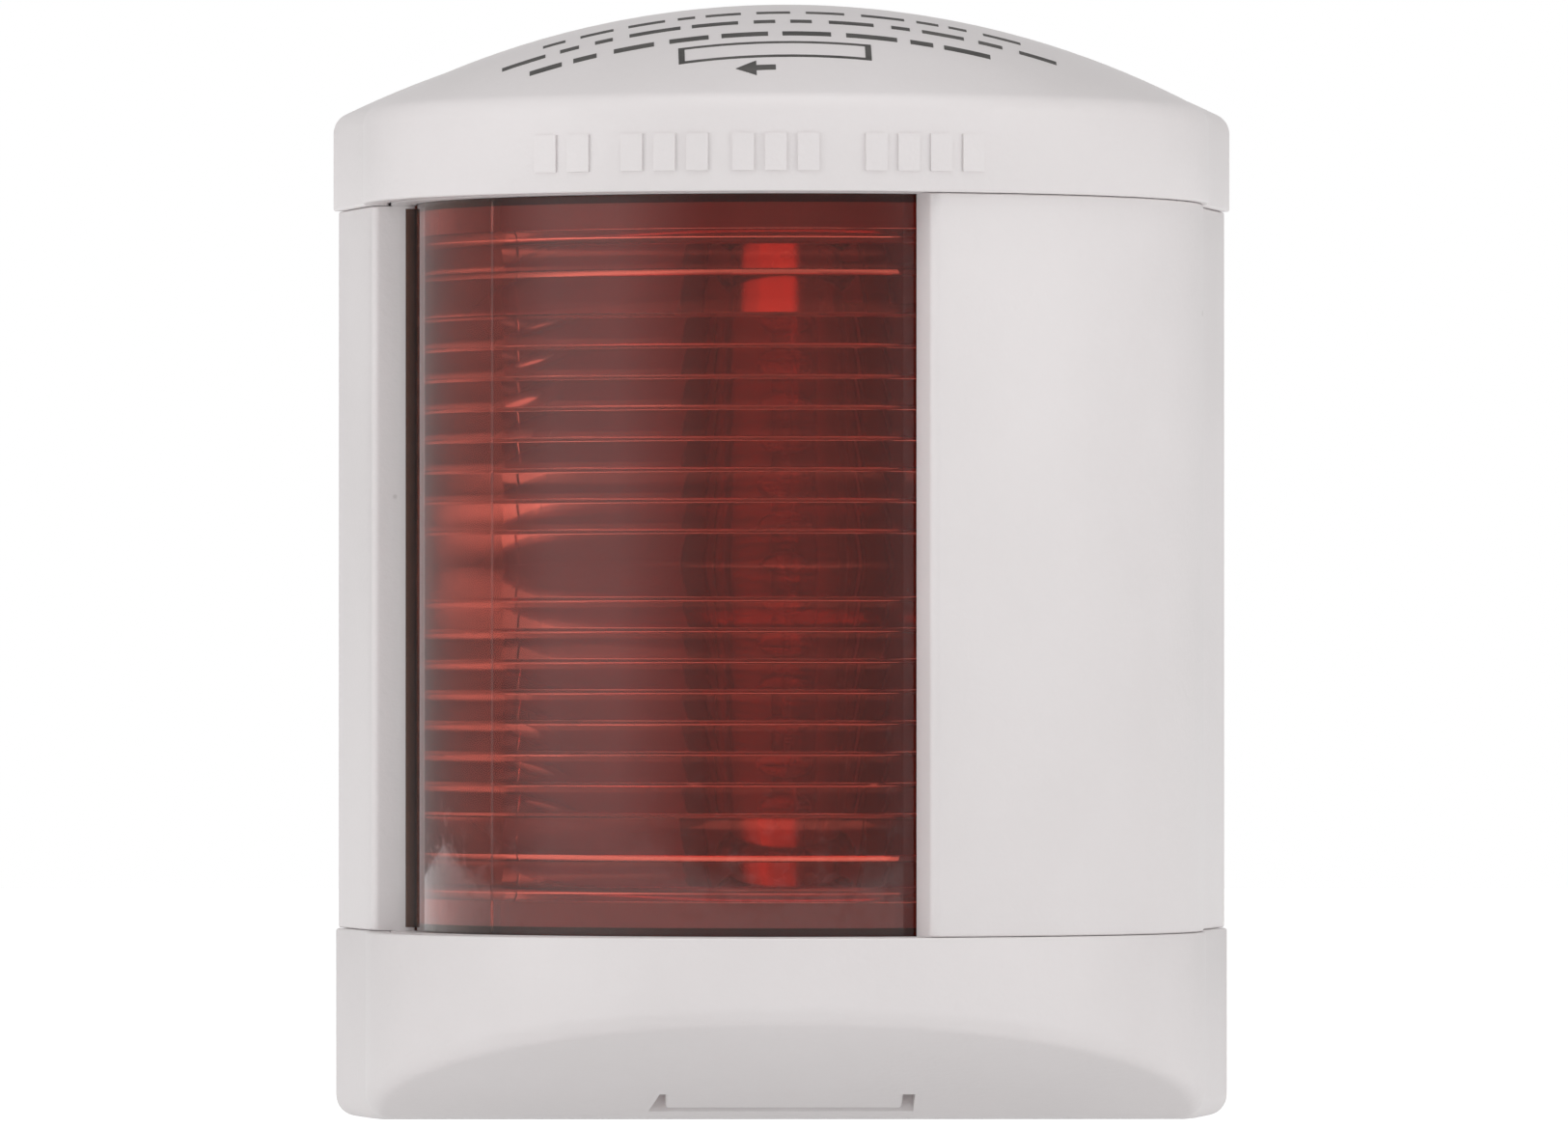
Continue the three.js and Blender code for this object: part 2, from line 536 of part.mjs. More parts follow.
function cableGrommet() {
  const bore = GROMMET_BORE / 2;
  const neck = GROMMET_NECK / 2;
  const rim = GROMMET_FLANGE / 2;
  const back = FASTENER_GAP;
  const backStep = back + GROMMET_FLANGE_THICKNESS;
  const frontStep = BASE_THICKNESS + FASTENER_GAP;
  const front = frontStep + GROMMET_FLANGE_THICKNESS;
  return turnedY([
    [bore, back], [rim, back], [rim, backStep], [neck, backStep], [neck, frontStep],
    [rim, frontStep], [rim - 1, front], [bore, front], [bore, back],
  ], 24, GROMMET_X, GROMMET_Z);
}

const screwPilot = (x, z) => {
  const radius = SCREW_CORE + FASTENER_GAP;
  const floor = BASE_THICKNESS - PILOT_DEPTH;
  const mouth = BASE_THICKNESS + 1;
  return turnedY([[0, floor], [radius, floor], [radius, mouth], [0, mouth]], 16, x, z);
};

// A pan-head screw whose head sits on the face at seatY, with a slot across its head
function panScrew(x, z, seatY, shank, headHeight) {
  const seat = -seatY + LAY_GAP;
  const top = seat + headHeight;
  const body = turnedY([
    [0, seat - shank], [SCREW_CORE, seat - shank], [SCREW_CORE, seat], [HEAD_RADIUS, seat],
    [HEAD_RADIUS, top - HEAD_CHAMFER], [HEAD_RADIUS - HEAD_CHAMFER, top], [0, top],
  ], 16, x, z);
  return body.subtract(block(
    x - HEAD_RADIUS, x + HEAD_RADIUS, -FAR, -top + HEAD_SLOT_DEPTH,
    z - HEAD_SLOT_HALF_WIDTH, z + HEAD_SLOT_HALF_WIDTH));
}

function lampCarrier() {
  const back = BASE_FRONT_Y - LAY_GAP;
  const cheekY = DECK_Y - CHEEK_HEIGHT;
  const web = block(
    -CARRIER_HALF_WIDTH, CARRIER_HALF_WIDTH, DECK_Y, back, -CARRIER_HALF_HEIGHT, CARRIER_HALF_HEIGHT);
  const cheekTop = LAMP_LENGTH / 2;
  const cheek = (side) => {
    const [x0, x1] = side > 0
      ? [CARRIER_HALF_WIDTH - CHEEK_WALL, CARRIER_HALF_WIDTH]
      : [-CARRIER_HALF_WIDTH, -CARRIER_HALF_WIDTH + CHEEK_WALL];
    return block(x0, x1, cheekY, DECK_Y + 1, -cheekTop, cheekTop);
  };
  let body = union(web, cheek(1), cheek(-1));
  const clear = 2 * (SCREW_CORE + FASTENER_GAP);
  [1, -1].forEach((side) => {
    const z = side * TERMINAL_Z;
    const half = BUS_WIDTH / 2 + SLIDE_GAP;
    body = body.subtract(hole(clear, 0, side * CARRIER_SCREW_Z));
    body = body.subtract(hole(2 * (RIVET_RADIUS + FASTENER_GAP), 0, side * RIVET_Z));
    body = body.subtract(block(0, FAR, BUS_FRONT_Y - SLIDE_GAP, DECK_Y, z - half, z + half));
  });
  return body;
}

function terminalBlock() {
  const body = block(
    TERMINAL_LEFT, TERMINAL_RIGHT, DECK_Y, BASE_FRONT_Y - LAY_GAP,
    -TERMINAL_HALF_HEIGHT, TERMINAL_HALF_HEIGHT);
  const clear = 2 * (SCREW_CORE + FASTENER_GAP);
  return body
    .subtract(hole(clear, TERMINAL_X, TERMINAL_Z))
    .subtract(hole(clear, TERMINAL_X, -TERMINAL_Z));
}

// A brass strip on the deck, from under the lamp contact to the terminal
function busStrip(side) {
  const back = DECK_Y - LAY_GAP;
  const half = BUS_WIDTH / 2;
  const reachX = TERMINAL_X + half + BUS_MARGIN;
  const span = (x0, x1, za, zb, frontY = BUS_FRONT_Y) => block(
    x0, x1, frontY, back, Math.min(za, zb), Math.max(za, zb));
  const footTop = side * (CONTACT_Z + CONTACT_THICKNESS);
  return union(
    span(-half, half, side * (TERMINAL_Z - half), footTop),
    span(-half, reachX, side * (TERMINAL_Z - half), side * (TERMINAL_Z + half)),
    span(-CONTACT_WIDTH / 2, CONTACT_WIDTH / 2, side * CONTACT_Z, footTop, BUS_FRONT_Y - CONTACT_THICKNESS))
    .subtract(hole(2 * (RIVET_RADIUS + FASTENER_GAP), 0, side * RIVET_Z))
    .subtract(hole(2 * (SCREW_CORE + FASTENER_GAP), TERMINAL_X, side * TERMINAL_Z));
}

function contactRivet(side) {
  const seat = -BUS_FRONT_Y + LAY_GAP;
  const tail = BASE_THICKNESS + 2 * FASTENER_GAP;
  return turnedY([
    [0, tail], [RIVET_RADIUS, tail], [RIVET_RADIUS, seat], [RIVET_HEAD_RADIUS, seat],
    [RIVET_HEAD_RADIUS - RIVET_CHAMFER, seat + RIVET_HEAD], [0, seat + RIVET_HEAD],
  ], 16, 0, side * RIVET_Z);
}

function wireClamp(side) {
  const back = BUS_FRONT_Y - LAY_GAP;
  const z = side * TERMINAL_Z;
  const half = CLAMP_HALF_WIDTH;
  const body = block(TERMINAL_X - half, TERMINAL_X + half, back - CLAMP_THICKNESS, back, z - half, z + half);
  return body.subtract(hole(2 * (SCREW_CORE + FASTENER_GAP), TERMINAL_X, z));
}

function lampContact(side) {
  const rootY = BUS_FRONT_Y - CONTACT_THICKNESS - SLIDE_GAP;
  const frontY = LAMP_AXIS_Y - CONTACT_REACH;
  const inner = CONTACT_Z;
  const outer = CONTACT_Z + CONTACT_THICKNESS;
  const half = CONTACT_WIDTH / 2;
  const arm = polygon([
    [rootY, side * inner], [frontY, side * inner],
    [frontY - CONTACT_LEAD, side * (inner + CONTACT_SPLAY)],
    [frontY - CONTACT_LEAD, side * (outer + CONTACT_SPLAY)],
    [frontY, side * outer], [rootY, side * outer],
  ]);
  const opening = CONTACT_HOLE / 2;
  const cut = turnedZ([[0, -FAR], [opening, -FAR], [opening, FAR], [0, FAR]], 16);
  return prismX(arm, -half, half).subtract(cut);
}

// ---- Lamp ---------------------------------------------------------------------------------------

function bulbGlass() {
  const end = GLASS_HALF_LENGTH;
  const neck = LAMP_CAP_RADIUS - GLASS_NECK_STEP;
  const shoulder = end - GLASS_SHOULDER;
  const inner = GLASS_RADIUS - GLASS_WALL;
  const innerShoulder = shoulder - GLASS_WALL / 2;
  return turnedZ([
    [neck - GLASS_WALL, -end], [neck, -end], [GLASS_RADIUS, -shoulder], [GLASS_RADIUS, shoulder],
    [neck, end], [neck - GLASS_WALL, end], [inner, innerShoulder], [inner, -innerShoulder],
    [neck - GLASS_WALL, -end],
  ], 24);
}

function bulbCap(side) {
  const start = GLASS_HALF_LENGTH + SEAM_GAP;
  const end = LAMP_LENGTH / 2;
  const shoulder = end - CAP_SHOULDER;
  const profile = [
    [0, start], [LAMP_CAP_RADIUS, start], [LAMP_CAP_RADIUS, shoulder],
    [LAMP_CAP_RADIUS - CAP_SHOULDER_STEP, shoulder + CAP_SHOULDER_STEP],
    [CAP_POINT_RADIUS, end - CAP_POINT_RADIUS + CAP_TIP_RADIUS], [CAP_TIP_RADIUS, end], [0, end],
  ];
  return turnedZ(side > 0 ? profile : profile.map(([r, z]) => [r, -z]).reverse(), 20);
}

function filament() {
  const end = GLASS_HALF_LENGTH - LAY_GAP;
  const bend = end / 2;
  const path = new THREE.CatmullRomCurve3([
    [0, -end], [FILAMENT_BOW, -bend], [0, 0], [FILAMENT_BOW, bend], [0, end],
  ].map(([x, z]) => new THREE.Vector3(x, LAMP_AXIS_Y, z)));
  const section = new THREE.Shape();
  section.absarc(0, 0, FILAMENT_RADIUS, 0, Math.PI * 2, false);
  return solid(new THREE.ExtrudeGeometry(section, { steps: 24, extrudePath: path, curveSegments: 3 }));
}

// ---- Materials and assembly ---------------------------------------------------------------------

const finish = (color, roughness, metalness = 0, opacity = 1) => new THREE.MeshStandardMaterial({
  color, roughness, metalness, opacity, transparent: opacity < 1,
});
const white = () => finish(0xd9d4d1, 0.5);
const black = () => finish(0x161616, 0.55);
const rubber = () => finish(0x232323, 0.8);
const brass = () => finish(0xb08a45, 0.35, 1);
const steel = () => finish(0xb8b8b4, 0.3, 1);
const nickel = () => finish(0xc4c0b8, 0.25, 1);

const light = new THREE.Group();

function place(name, body, material) {
  const mesh = new THREE.Mesh(geometryOf(body), material);
  mesh.name = name;
  light.add(mesh);
}

place('base_plate', basePlate(), white());
place('cover_seal', coverSeal(), rubber());
place('cable_grommet', cableGrommet(), rubber());
place('lamp_carrier', lampCarrier(), black());
place('terminal_block', terminalBlock(), black());
place('top_cap', topCap(), white());
place('screen_shell', screenShell(), white());
place('bottom_cap', bottomCap(), white());
place('release_latch', releaseLatch(), white());
place('lens', lens(), finish(0x8a1a12, 0.1, 0, 0.6));
place('bulb_glass', bulbGlass(), finish(0xf2f4f2, 0.05, 0, 0.3));
place('filament', filament(), steel());

[['upper', 1], ['lower', -1]].forEach(([end, side]) => {
  const terminalSeat = BUS_FRONT_Y - LAY_GAP - CLAMP_THICKNESS;
  place(`lens_seal_${end}`, lensSeal(side), rubber());
  place(`${end}_bus_strip`, busStrip(side), brass());
  place(`${end}_contact`, lampContact(side), brass());
  place(`contact_rivet_${end}`, contactRivet(side), brass());
  place(`wire_clamp_${end}`, wireClamp(side), brass());
  const terminalScrew = panScrew(TERMINAL_X, side * TERMINAL_Z, terminalSeat, TERMINAL_SHANK, TERMINAL_HEAD);
  const carrierScrew = panScrew(0, side * CARRIER_SCREW_Z, DECK_Y, CARRIER_SHANK, CARRIER_HEAD);
  place(`terminal_screw_${end}`, terminalScrew, brass());
  place(`carrier_screw_${end}`, carrierScrew, steel());
  place(`bulb_cap_${end}`, bulbCap(side), nickel());
});

export default light;
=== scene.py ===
"""A port side navigation light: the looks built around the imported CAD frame.

Lengths in this script are millimetres in the frame's axes, turned to metres when a mesh is made.
The wall is the plane Y = 0, the light faces -Y, and Z is up.
"""
import math
import random

import bmesh
import bpy
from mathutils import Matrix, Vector


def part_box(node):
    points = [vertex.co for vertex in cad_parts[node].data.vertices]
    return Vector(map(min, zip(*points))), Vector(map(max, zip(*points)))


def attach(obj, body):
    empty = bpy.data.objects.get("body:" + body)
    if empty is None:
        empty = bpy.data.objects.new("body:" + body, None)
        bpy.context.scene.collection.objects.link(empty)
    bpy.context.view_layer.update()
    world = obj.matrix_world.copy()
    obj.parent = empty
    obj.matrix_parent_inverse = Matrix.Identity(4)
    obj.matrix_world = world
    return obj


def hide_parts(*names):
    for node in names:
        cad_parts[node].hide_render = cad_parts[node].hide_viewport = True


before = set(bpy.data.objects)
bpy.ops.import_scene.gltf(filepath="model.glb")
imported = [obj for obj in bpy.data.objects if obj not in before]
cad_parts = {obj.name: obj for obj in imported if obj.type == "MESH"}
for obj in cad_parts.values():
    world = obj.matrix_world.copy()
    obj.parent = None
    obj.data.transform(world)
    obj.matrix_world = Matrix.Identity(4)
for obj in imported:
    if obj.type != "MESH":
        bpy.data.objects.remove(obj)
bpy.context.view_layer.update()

MM = 0.001


def box_mm(node):
    low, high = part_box(node)
    return low / MM, high / MM


# ---- Sizes taken from the frame ------------------------------------------------------------------

SHELL_HIGH = box_mm("screen_shell")[1]
CAP_LOW, CAP_HIGH = box_mm("top_cap")
BOTTOM_LOW = box_mm("bottom_cap")[0]
LENS_LOW = box_mm("lens")[0]
GLASS_LOW, GLASS_HIGH = box_mm("bulb_glass")

AXIS_Y = (GLASS_LOW.y + GLASS_HIGH.y) / 2  # depth of the lamp's axis, about which the front is turned
WALL_GAP = -SHELL_HIGH.y
SEAM_GAP = 0.04
COVER_FIT = 0.08
WINDOW = CAP_LOW.z  # half the height of the window
WINDOW_RECESS = 3.6
LENS_RADIUS = AXIS_Y - LENS_LOW.y
SHELL_RADIUS = LENS_RADIUS + WINDOW_RECESS
FLARE_SETBACK = 3.0
FLARE_Y = AXIS_Y + FLARE_SETBACK
SIDE_FLARE = 2.4
CAP_PROUD = AXIS_Y - CAP_LOW.y - SHELL_RADIUS
BOTTOM_PROUD = AXIS_Y - BOTTOM_LOW.y - SHELL_RADIUS
COVER_WALL = 1.8
SHELL_WALL = 2.5
COLLAR_WALL = 1.85
COLLAR_HEIGHT = SHELL_HIGH.z - WINDOW
COLLAR_LAP = 2.5
COLLAR_OUTSIDE = min(CAP_PROUD, BOTTOM_PROUD) - COVER_WALL - COVER_FIT

DOME_TOP = CAP_HIGH.z
DOME_RISE = 8.0
DOME_RADIUS = ((SHELL_RADIUS + CAP_PROUD) ** 2 + DOME_RISE ** 2) / (2 * DOME_RISE)
DOME_CENTRE = DOME_TOP - DOME_RADIUS
UNDERSIDE = BOTTOM_LOW.z
BOTTOM_BAND = 6.1
CREASE_Z = -WINDOW - BOTTOM_BAND
CREASE_Y = BOTTOM_LOW.y
UNDERSIDE_SLOPE = 0.24
UNDERSIDE_SOFTNESS = 0.35

# Directions about the lamp's axis, in degrees from straight out of the wall towards +X.
SECTOR_LEFT = -95.3
SECTOR_RIGHT = 19.0
JAMB_ANGLE = 3.4
LENS_LAP_ANGLE = 2.2

# Far enough outside the part for a cutter to pass through it.
BEYOND = 60


# ---- Mesh tools ----------------------------------------------------------------------------------

def make_object(name, verts, faces):
    """A mesh object from points in millimetres, merged and facing out."""
    mesh = bpy.data.meshes.new(name)
    mesh.from_pydata([Vector(v) * MM for v in verts], [], faces)
    bm = bmesh.new()
    bm.from_mesh(mesh)
    bmesh.ops.remove_doubles(bm, verts=bm.verts, dist=1e-6)
    bmesh.ops.recalc_face_normals(bm, faces=bm.faces)
    bm.to_mesh(mesh)
    bm.free()
    mesh.update()
    obj = bpy.data.objects.new(name, mesh)
    bpy.context.scene.collection.objects.link(obj)
    return obj


def smooth(obj, angle=35.0):
    """Smooth shading that breaks at edges sharper than angle."""
    mesh = obj.data
    mesh.shade_smooth()
    mesh.set_sharp_from_angle(angle=math.radians(angle))


def bevel(obj, width, segments=3, angle=35.0):
    """Rounds the edges sharper than angle."""
    modifier = obj.modifiers.new("rounded_edges", "BEVEL")
    modifier.width = width * MM
    modifier.segments = segments
    modifier.limit_method = "ANGLE"
    modifier.angle_limit = math.radians(angle)
    modifier.harden_normals = False
    modifier.use_clamp_overlap = True
    return modifier


def apply_modifiers(obj):
    """Replaces the object's mesh by what its modifiers make of it."""
    depsgraph = bpy.context.evaluated_depsgraph_get()
    evaluated = obj.evaluated_get(depsgraph)
    mesh = bpy.data.meshes.new_from_object(evaluated)
    old = obj.data
    obj.modifiers.clear()
    obj.data = mesh
    bpy.data.meshes.remove(old)


def boolean(obj, other, operation):
    """Joins other to obj, or cuts it out, and removes other."""
    modifier = obj.modifiers.new("boolean", "BOOLEAN")
    modifier.object = other
    modifier.operation = operation
    modifier.solver = "EXACT"
    apply_modifiers(obj)
    bpy.data.objects.remove(other)


def prism(name, outline, low, high, axis="Z"):
    """A closed outline of [u, v] points, standing from low to high along an axis."""
    place = {
        "Z": lambda u, v, w: (u, v, w),
        "Y": lambda u, v, w: (u, w, v),
        "X": lambda u, v, w: (w, u, v),
    }[axis]
    count = len(outline)
    verts = [place(u, v, low) for u, v in outline] + [place(u, v, high) for u, v in outline]
    faces = [tuple(range(count)), tuple(range(2 * count - 1, count - 1, -1))]
    for i in range(count):
        j = (i + 1) % count
        faces.append((i, j, count + j, count + i))
    return make_object(name, verts, faces)


def block(name, x0, x1, y0, y1, z0, z1):
    return prism(name, [(x0, y0), (x1, y0), (x1, y1), (x0, y1)], z0, z1)


# ---- Outlines of the casing ----------------------------------------------------------------------

SIDE_STEPS = (0.0, 0.06, 0.3, 0.6, 0.85, 0.97)
ARC_STEPS = 96


def side_x(offset, y):
    """Half the width of the flared side at depth y, for an outline offset outwards."""
    radius = SHELL_RADIUS + offset
    start = math.sqrt(radius ** 2 - FLARE_SETBACK ** 2)
    wall = radius + SIDE_FLARE
    return start + (wall - start) * (y - FLARE_Y) / -FLARE_Y


def arc(radius, start, end, steps):
    """Points about the lamp's axis, by direction in degrees from straight out of the wall towards +X."""
    points = []
    for step in range(steps + 1):
        a = math.radians(start + (end - start) * step / steps)
        points.append((radius * math.sin(a), AXIS_Y - radius * math.cos(a)))
    return points


def flare_angle(offset):
    return 90 + math.degrees(math.asin(FLARE_SETBACK / (SHELL_RADIUS + offset)))


def side(offset, back_y, sign):
    """The flared side, from the wall to just short of the round front."""
    return [
        (sign * side_x(offset, back_y + (FLARE_Y - back_y) * t), back_y + (FLARE_Y - back_y) * t)
        for t in SIDE_STEPS
    ]


def plan(offset, back_y=-WALL_GAP):
    """Plan of the casing from its right rear corner round the front to its left rear corner."""
    turn = flare_angle(offset)
    front = arc(SHELL_RADIUS + offset, turn, -turn, ARC_STEPS)
    return side(offset, back_y, 1) + front + side(offset, back_y, -1)[::-1]


# ---- Lids: the dome of the cap and the underside of the bottom ------------------------------------

def dome(x, y, radius=DOME_RADIUS):
    """Height of the dome: turned in front of the lamp's axis; behind it the arch widens with the sides."""
    ahead = min(0.0, y - AXIS_Y)
    if y > FLARE_Y:
        x *= side_x(CAP_PROUD, FLARE_Y) / side_x(CAP_PROUD, y)
    return DOME_CENTRE + math.sqrt(max(0.0, radius ** 2 - x ** 2 - ahead ** 2))


def underside(_x, y, rise=0.0):
    """Height of the underside: a slope that runs softly into a flat near the wall."""
    slope = CREASE_Z + rise * math.hypot(1, UNDERSIDE_SLOPE) - UNDERSIDE_SLOPE * (y - CREASE_Y)
    flat = UNDERSIDE + rise
    gap = (slope - flat) / UNDERSIDE_SOFTNESS
    if gap > 30:
        return slope
    return flat + UNDERSIDE_SOFTNESS * math.log1p(math.exp(gap))


def rolled_edge(offset, lid, sign, radius, steps):
    """Rings that roll from the upright band onto a lid surface, with a ball of the given radius."""
    rings = [[] for _ in range(steps + 1)]
    probe = 0.02
    wall = plan(offset)
    inward = plan(offset - probe)
    for (x, y), (xi, yi) in zip(wall, inward):
        dx, dy = (xi - x) / probe, (yi - y) / probe
        inset = radius * 0.5
        for _ in range(6):
            px, py = x + dx * inset, y + dy * inset
            ahead = lid(px, py) * sign
            before = lid(px - dx * probe, py - dy * probe) * sign
            tilt = math.atan((ahead - before) / probe)
            inset = radius * (1 - math.sin(tilt))
        centre = lid(px, py) * sign - radius * math.cos(tilt)
        for step in range(steps + 1):
            turn = (math.pi / 2 - tilt) * step / steps
            shift = radius * (1 - math.cos(turn))
            rings[step].append((x + dx * shift, y + dy * shift, sign * (centre + radius * math.sin(turn))))
    return rings


def lid_rings(edge, lid, steps):
    """Rings over a lid, shrinking from its edge ring to the middle of the back edge."""
    pole = (0.0, -WALL_GAP)
    rings = []
    for step in range(1, steps + 1):
        k = 1 - step / steps
        ring = []
        for x, y, _z in edge:
            px, py = pole[0] + (x - pole[0]) * k, pole[1] + (y - pole[1]) * k
            ring.append((px, py, lid(px, py)))
        rings.append(ring)
    return rings


def cup(name, offset, wall, rim_z, lid, inner_lid, sign, edge_radius):
    """A walled cup open at its rim and its back: a cap's or a bottom's outer and inner skins."""
    edge_steps, lid_steps = 8, 26

    def skin(skin_offset, skin_lid, radius):
        rolled = rolled_edge(skin_offset, skin_lid, sign, radius, edge_steps)
        rim = [(x, y, rim_z) for x, y in plan(skin_offset)]
        return [rim] + rolled + lid_rings(rolled[-1], skin_lid, lid_steps)

    outer = skin(offset, lid, edge_radius)
    inner = skin(offset - wall, inner_lid, max(0.4, edge_radius - wall + 0.4))
    width = len(outer[0])
    verts = [p for ring in outer for p in ring] + [p for ring in inner for p in ring]
    base = len(outer) * width
    faces = []
    for shift in (0, base):
        for i in range(len(outer) - 1):
            for j in range(width - 1):
                a = shift + i * width + j
                faces.append((a, a + 1, a + width + 1, a + width))
    for j in range(width - 1):
        faces.append((j, j + 1, base + j + 1, base + j))
    for i in range(len(outer) - 1):
        for j in (0, width - 1):
            a = i * width + j
            faces.append((a, a + width, base + a + width, base + a))
    obj = make_object(name, verts, faces)
    bm = bmesh.new()
    bm.from_mesh(obj.data)
    bmesh.ops.dissolve_degenerate(bm, edges=bm.edges, dist=1e-7)
    bmesh.ops.recalc_face_normals(bm, faces=bm.faces)
    bm.to_mesh(obj.data)
    bm.free()
    return obj


def join(name, parts):
    """One object from several closed meshes."""
    bm = bmesh.new()
    for part in parts:
        bm.from_mesh(part.data)
        bpy.data.objects.remove(part)
    mesh = bpy.data.meshes.new(name)
    bm.to_mesh(mesh)
    bm.free()
    obj = bpy.data.objects.new(name, mesh)
    bpy.context.scene.collection.objects.link(obj)
    return obj


def loft(name, sections):
    """A closed body through closed sections that all have the same number of points."""
    count = len(sections[0])
    verts = [p for section in sections for p in section]
    last = (len(sections) - 1) * count
    faces = [tuple(range(count)), tuple(last + i for i in reversed(range(count)))]
    for row in range(len(sections) - 1):
        for i in range(count):
            j = (i + 1) % count
            a, b = row * count, (row + 1) * count
            faces.append((a + i, a + j, b + j, b + i))
    return make_object(name, verts, faces)


def turned(name, profile, centre, axis="Z", segments=96):
    """A [radius, height] profile turned about an axis through a centre, closed on itself or on the axis."""
    verts, faces = [], []
    count = len(profile)
    for step in range(segments):
        a = 2 * math.pi * step / segments
        for r, h in profile:
            u, v = r * math.cos(a), r * math.sin(a)
            x, y, z = (u, v, h) if axis == "Z" else (u, h, v)
            verts.append((centre[0] + x, centre[1] + y, centre[2] + z))
    closed = profile[0][0] > 0
    for step in range(segments):
        a, b = step * count, (step + 1) % segments * count
        for i in range(count if closed else count - 1):
            j = (i + 1) % count
            faces.append((a + i, b + i, b + j, a + j))
    return make_object(name, verts, faces)


def ring_sector(inner, outer, start, end, steps):
    """Outline of part of a ring about the lamp's axis."""
    return arc(outer, start, end, steps) + arc(inner, end, start, steps)


# ---- Cover: cap, screen, bottom -------------------------------------------------------------------

EDGE_RADIUS = 1.6
SEAM_ROUND = 0.16
RETAINER_WALL = 2.4
RETAINER_START = 30.7
SLOT_X = 9.4
SLOT_Y = (-24.0, -18.0)
SLOT_SLANT = 0.8
HOOK_X = (6.0, 12.0)
HOOK_BOTTOM = DOME_TOP - 4.45
HOOK_THICKNESS = 0.9
HOOK_TOP = DOME_TOP - 2.2
FLANGE_Y = (-6.5, -5.6)
FLANGE_OUTSET = 1.2
FLANGE_INSET = 2.0
FLANGE_START = WINDOW + 4.3
CAP_FLANGE_END = 39.5
BOTTOM_FLANGE_END = 39.9
PLATE_GAP = 0.35
PLATE_CORNER = 2
PLATE_FRONT = -4
RETAINER_LAP_ANGLE = 2
RETAINER_END = 35.1


def inner_dome(x, y):
    return dome(x, y, DOME_RADIUS - COVER_WALL)


def inner_underside(x, y):
    return underside(x, y, COVER_WALL)


def plate_outline(inset):
    """Front view of the base plate's edge, moved in by inset."""
    half = side_x(-SHELL_WALL, PLATE_FRONT) - PLATE_GAP - inset
    bottom = UNDERSIDE + COVER_WALL + PLATE_GAP + inset
    radius = DOME_RADIUS - COVER_WALL - PLATE_GAP - inset
    corner = max(PLATE_CORNER - inset, PLATE_GAP)
    rim = math.asin(half / radius)
    points = []
    for step in range(9):
        a = -math.pi / 2 + math.pi / 2 * step / 8
        points.append((half - corner + corner * math.cos(a), bottom + corner + corner * math.sin(a)))
    for step in range(33):
        a = math.pi / 2 - rim + 2 * rim * step / 32
        points.append((radius * math.cos(a), DOME_CENTRE + radius * math.sin(a)))
    for step in range(9):
        a = math.pi + math.pi / 2 * step / 8
        points.append((-half + corner + corner * math.cos(a), bottom + corner + corner * math.sin(a)))
    return points


def flange(name, low, high):
    """The cover's inner flange between two heights."""
    ring = prism(name, plate_outline(-FLANGE_OUTSET), FLANGE_Y[0], FLANGE_Y[1], "Y")
    boolean(ring, prism("cut", plate_outline(FLANGE_INSET), -20, 5, "Y"), "DIFFERENCE")
    boolean(ring, block("keep", -BEYOND, BEYOND, -20, 5, low, high), "INTERSECT")
    return ring


def rim_round(cup_object, rim_z, sign):
    """Rounds the outer edge of a cup's rim where it meets the screen."""
    group = cup_object.vertex_groups.new(name="rim")
    for vert in cup_object.data.vertices:
        if abs(vert.co.z / MM - rim_z) < 0.01:
            group.add([vert.index], 1.0, "ADD")
    modifier = bevel(cup_object, SEAM_ROUND, 3, 40)
    modifier.limit_method = "VGROUP"
    modifier.vertex_group = "rim"
    apply_modifiers(cup_object)


def retainer_outline():
    """Plan of the rib that a cup has behind the end of the lens."""
    start, end = SECTOR_LEFT - RETAINER_LAP_ANGLE, SECTOR_RIGHT + RETAINER_LAP_ANGLE
    return ring_sector(LENS_RADIUS - RETAINER_WALL, LENS_RADIUS, start, end, 48)


def make_cap():
    body = cup("cap_body", CAP_PROUD, COVER_WALL, WINDOW, dome, inner_dome, 1, EDGE_RADIUS)
    rim_round(body, WINDOW, 1)
    parts = [body, flange("cap_flange", FLANGE_START, CAP_FLANGE_END)]
    front, back = -WALL_GAP - HOOK_THICKNESS, -WALL_GAP - 0.01
    for x0, x1 in (HOOK_X, (-HOOK_X[1], -HOOK_X[0])):
        parts.append(block("hook", x0, x1, front, back, HOOK_BOTTOM, HOOK_TOP))
    parts.append(prism("retainer", retainer_outline(), RETAINER_START, RETAINER_END))
    return join("cap_shell", parts)


def make_bottom():
    body = cup(
        "bottom_body", BOTTOM_PROUD, COVER_WALL, -WINDOW, underside, inner_underside, -1, EDGE_RADIUS)
    rim_round(body, -WINDOW, -1)
    front, back = SLOT_Y
    slot = [(-SLOT_X, front), (SLOT_X, front), (SLOT_X, back), (-SLOT_X - SLOT_SLANT, back)]
    boolean(body, prism("slot", slot, -BEYOND, -30), "DIFFERENCE")
    retainer = prism("retainer", retainer_outline(), -BEYOND, -RETAINER_START)
    depth = COVER_WALL / 2
    profile = [(5, BEYOND), (-BEYOND, BEYOND)]
    profile += [(y, underside(0, y, depth)) for y in range(-BEYOND, 6, 2)]
    boolean(retainer, prism("keep", profile, -BEYOND, BEYOND, "X"), "INTERSECT")
    return join("bottom_shell", [body, flange("bottom_flange", -BOTTOM_FLANGE_END, -FLANGE_START), retainer])


# How far forward the screen's laps reach behind cap and bottom, on the right and on the left.
LAP_FRONT_Y = {1: -42.0, -1: -13.5}
LAP_HEIGHT = 0.5
COLLAR_SETBACK = 0.3
JAMB_ROUND = 0.7
JAMB_INNER = LENS_RADIUS + 0.3


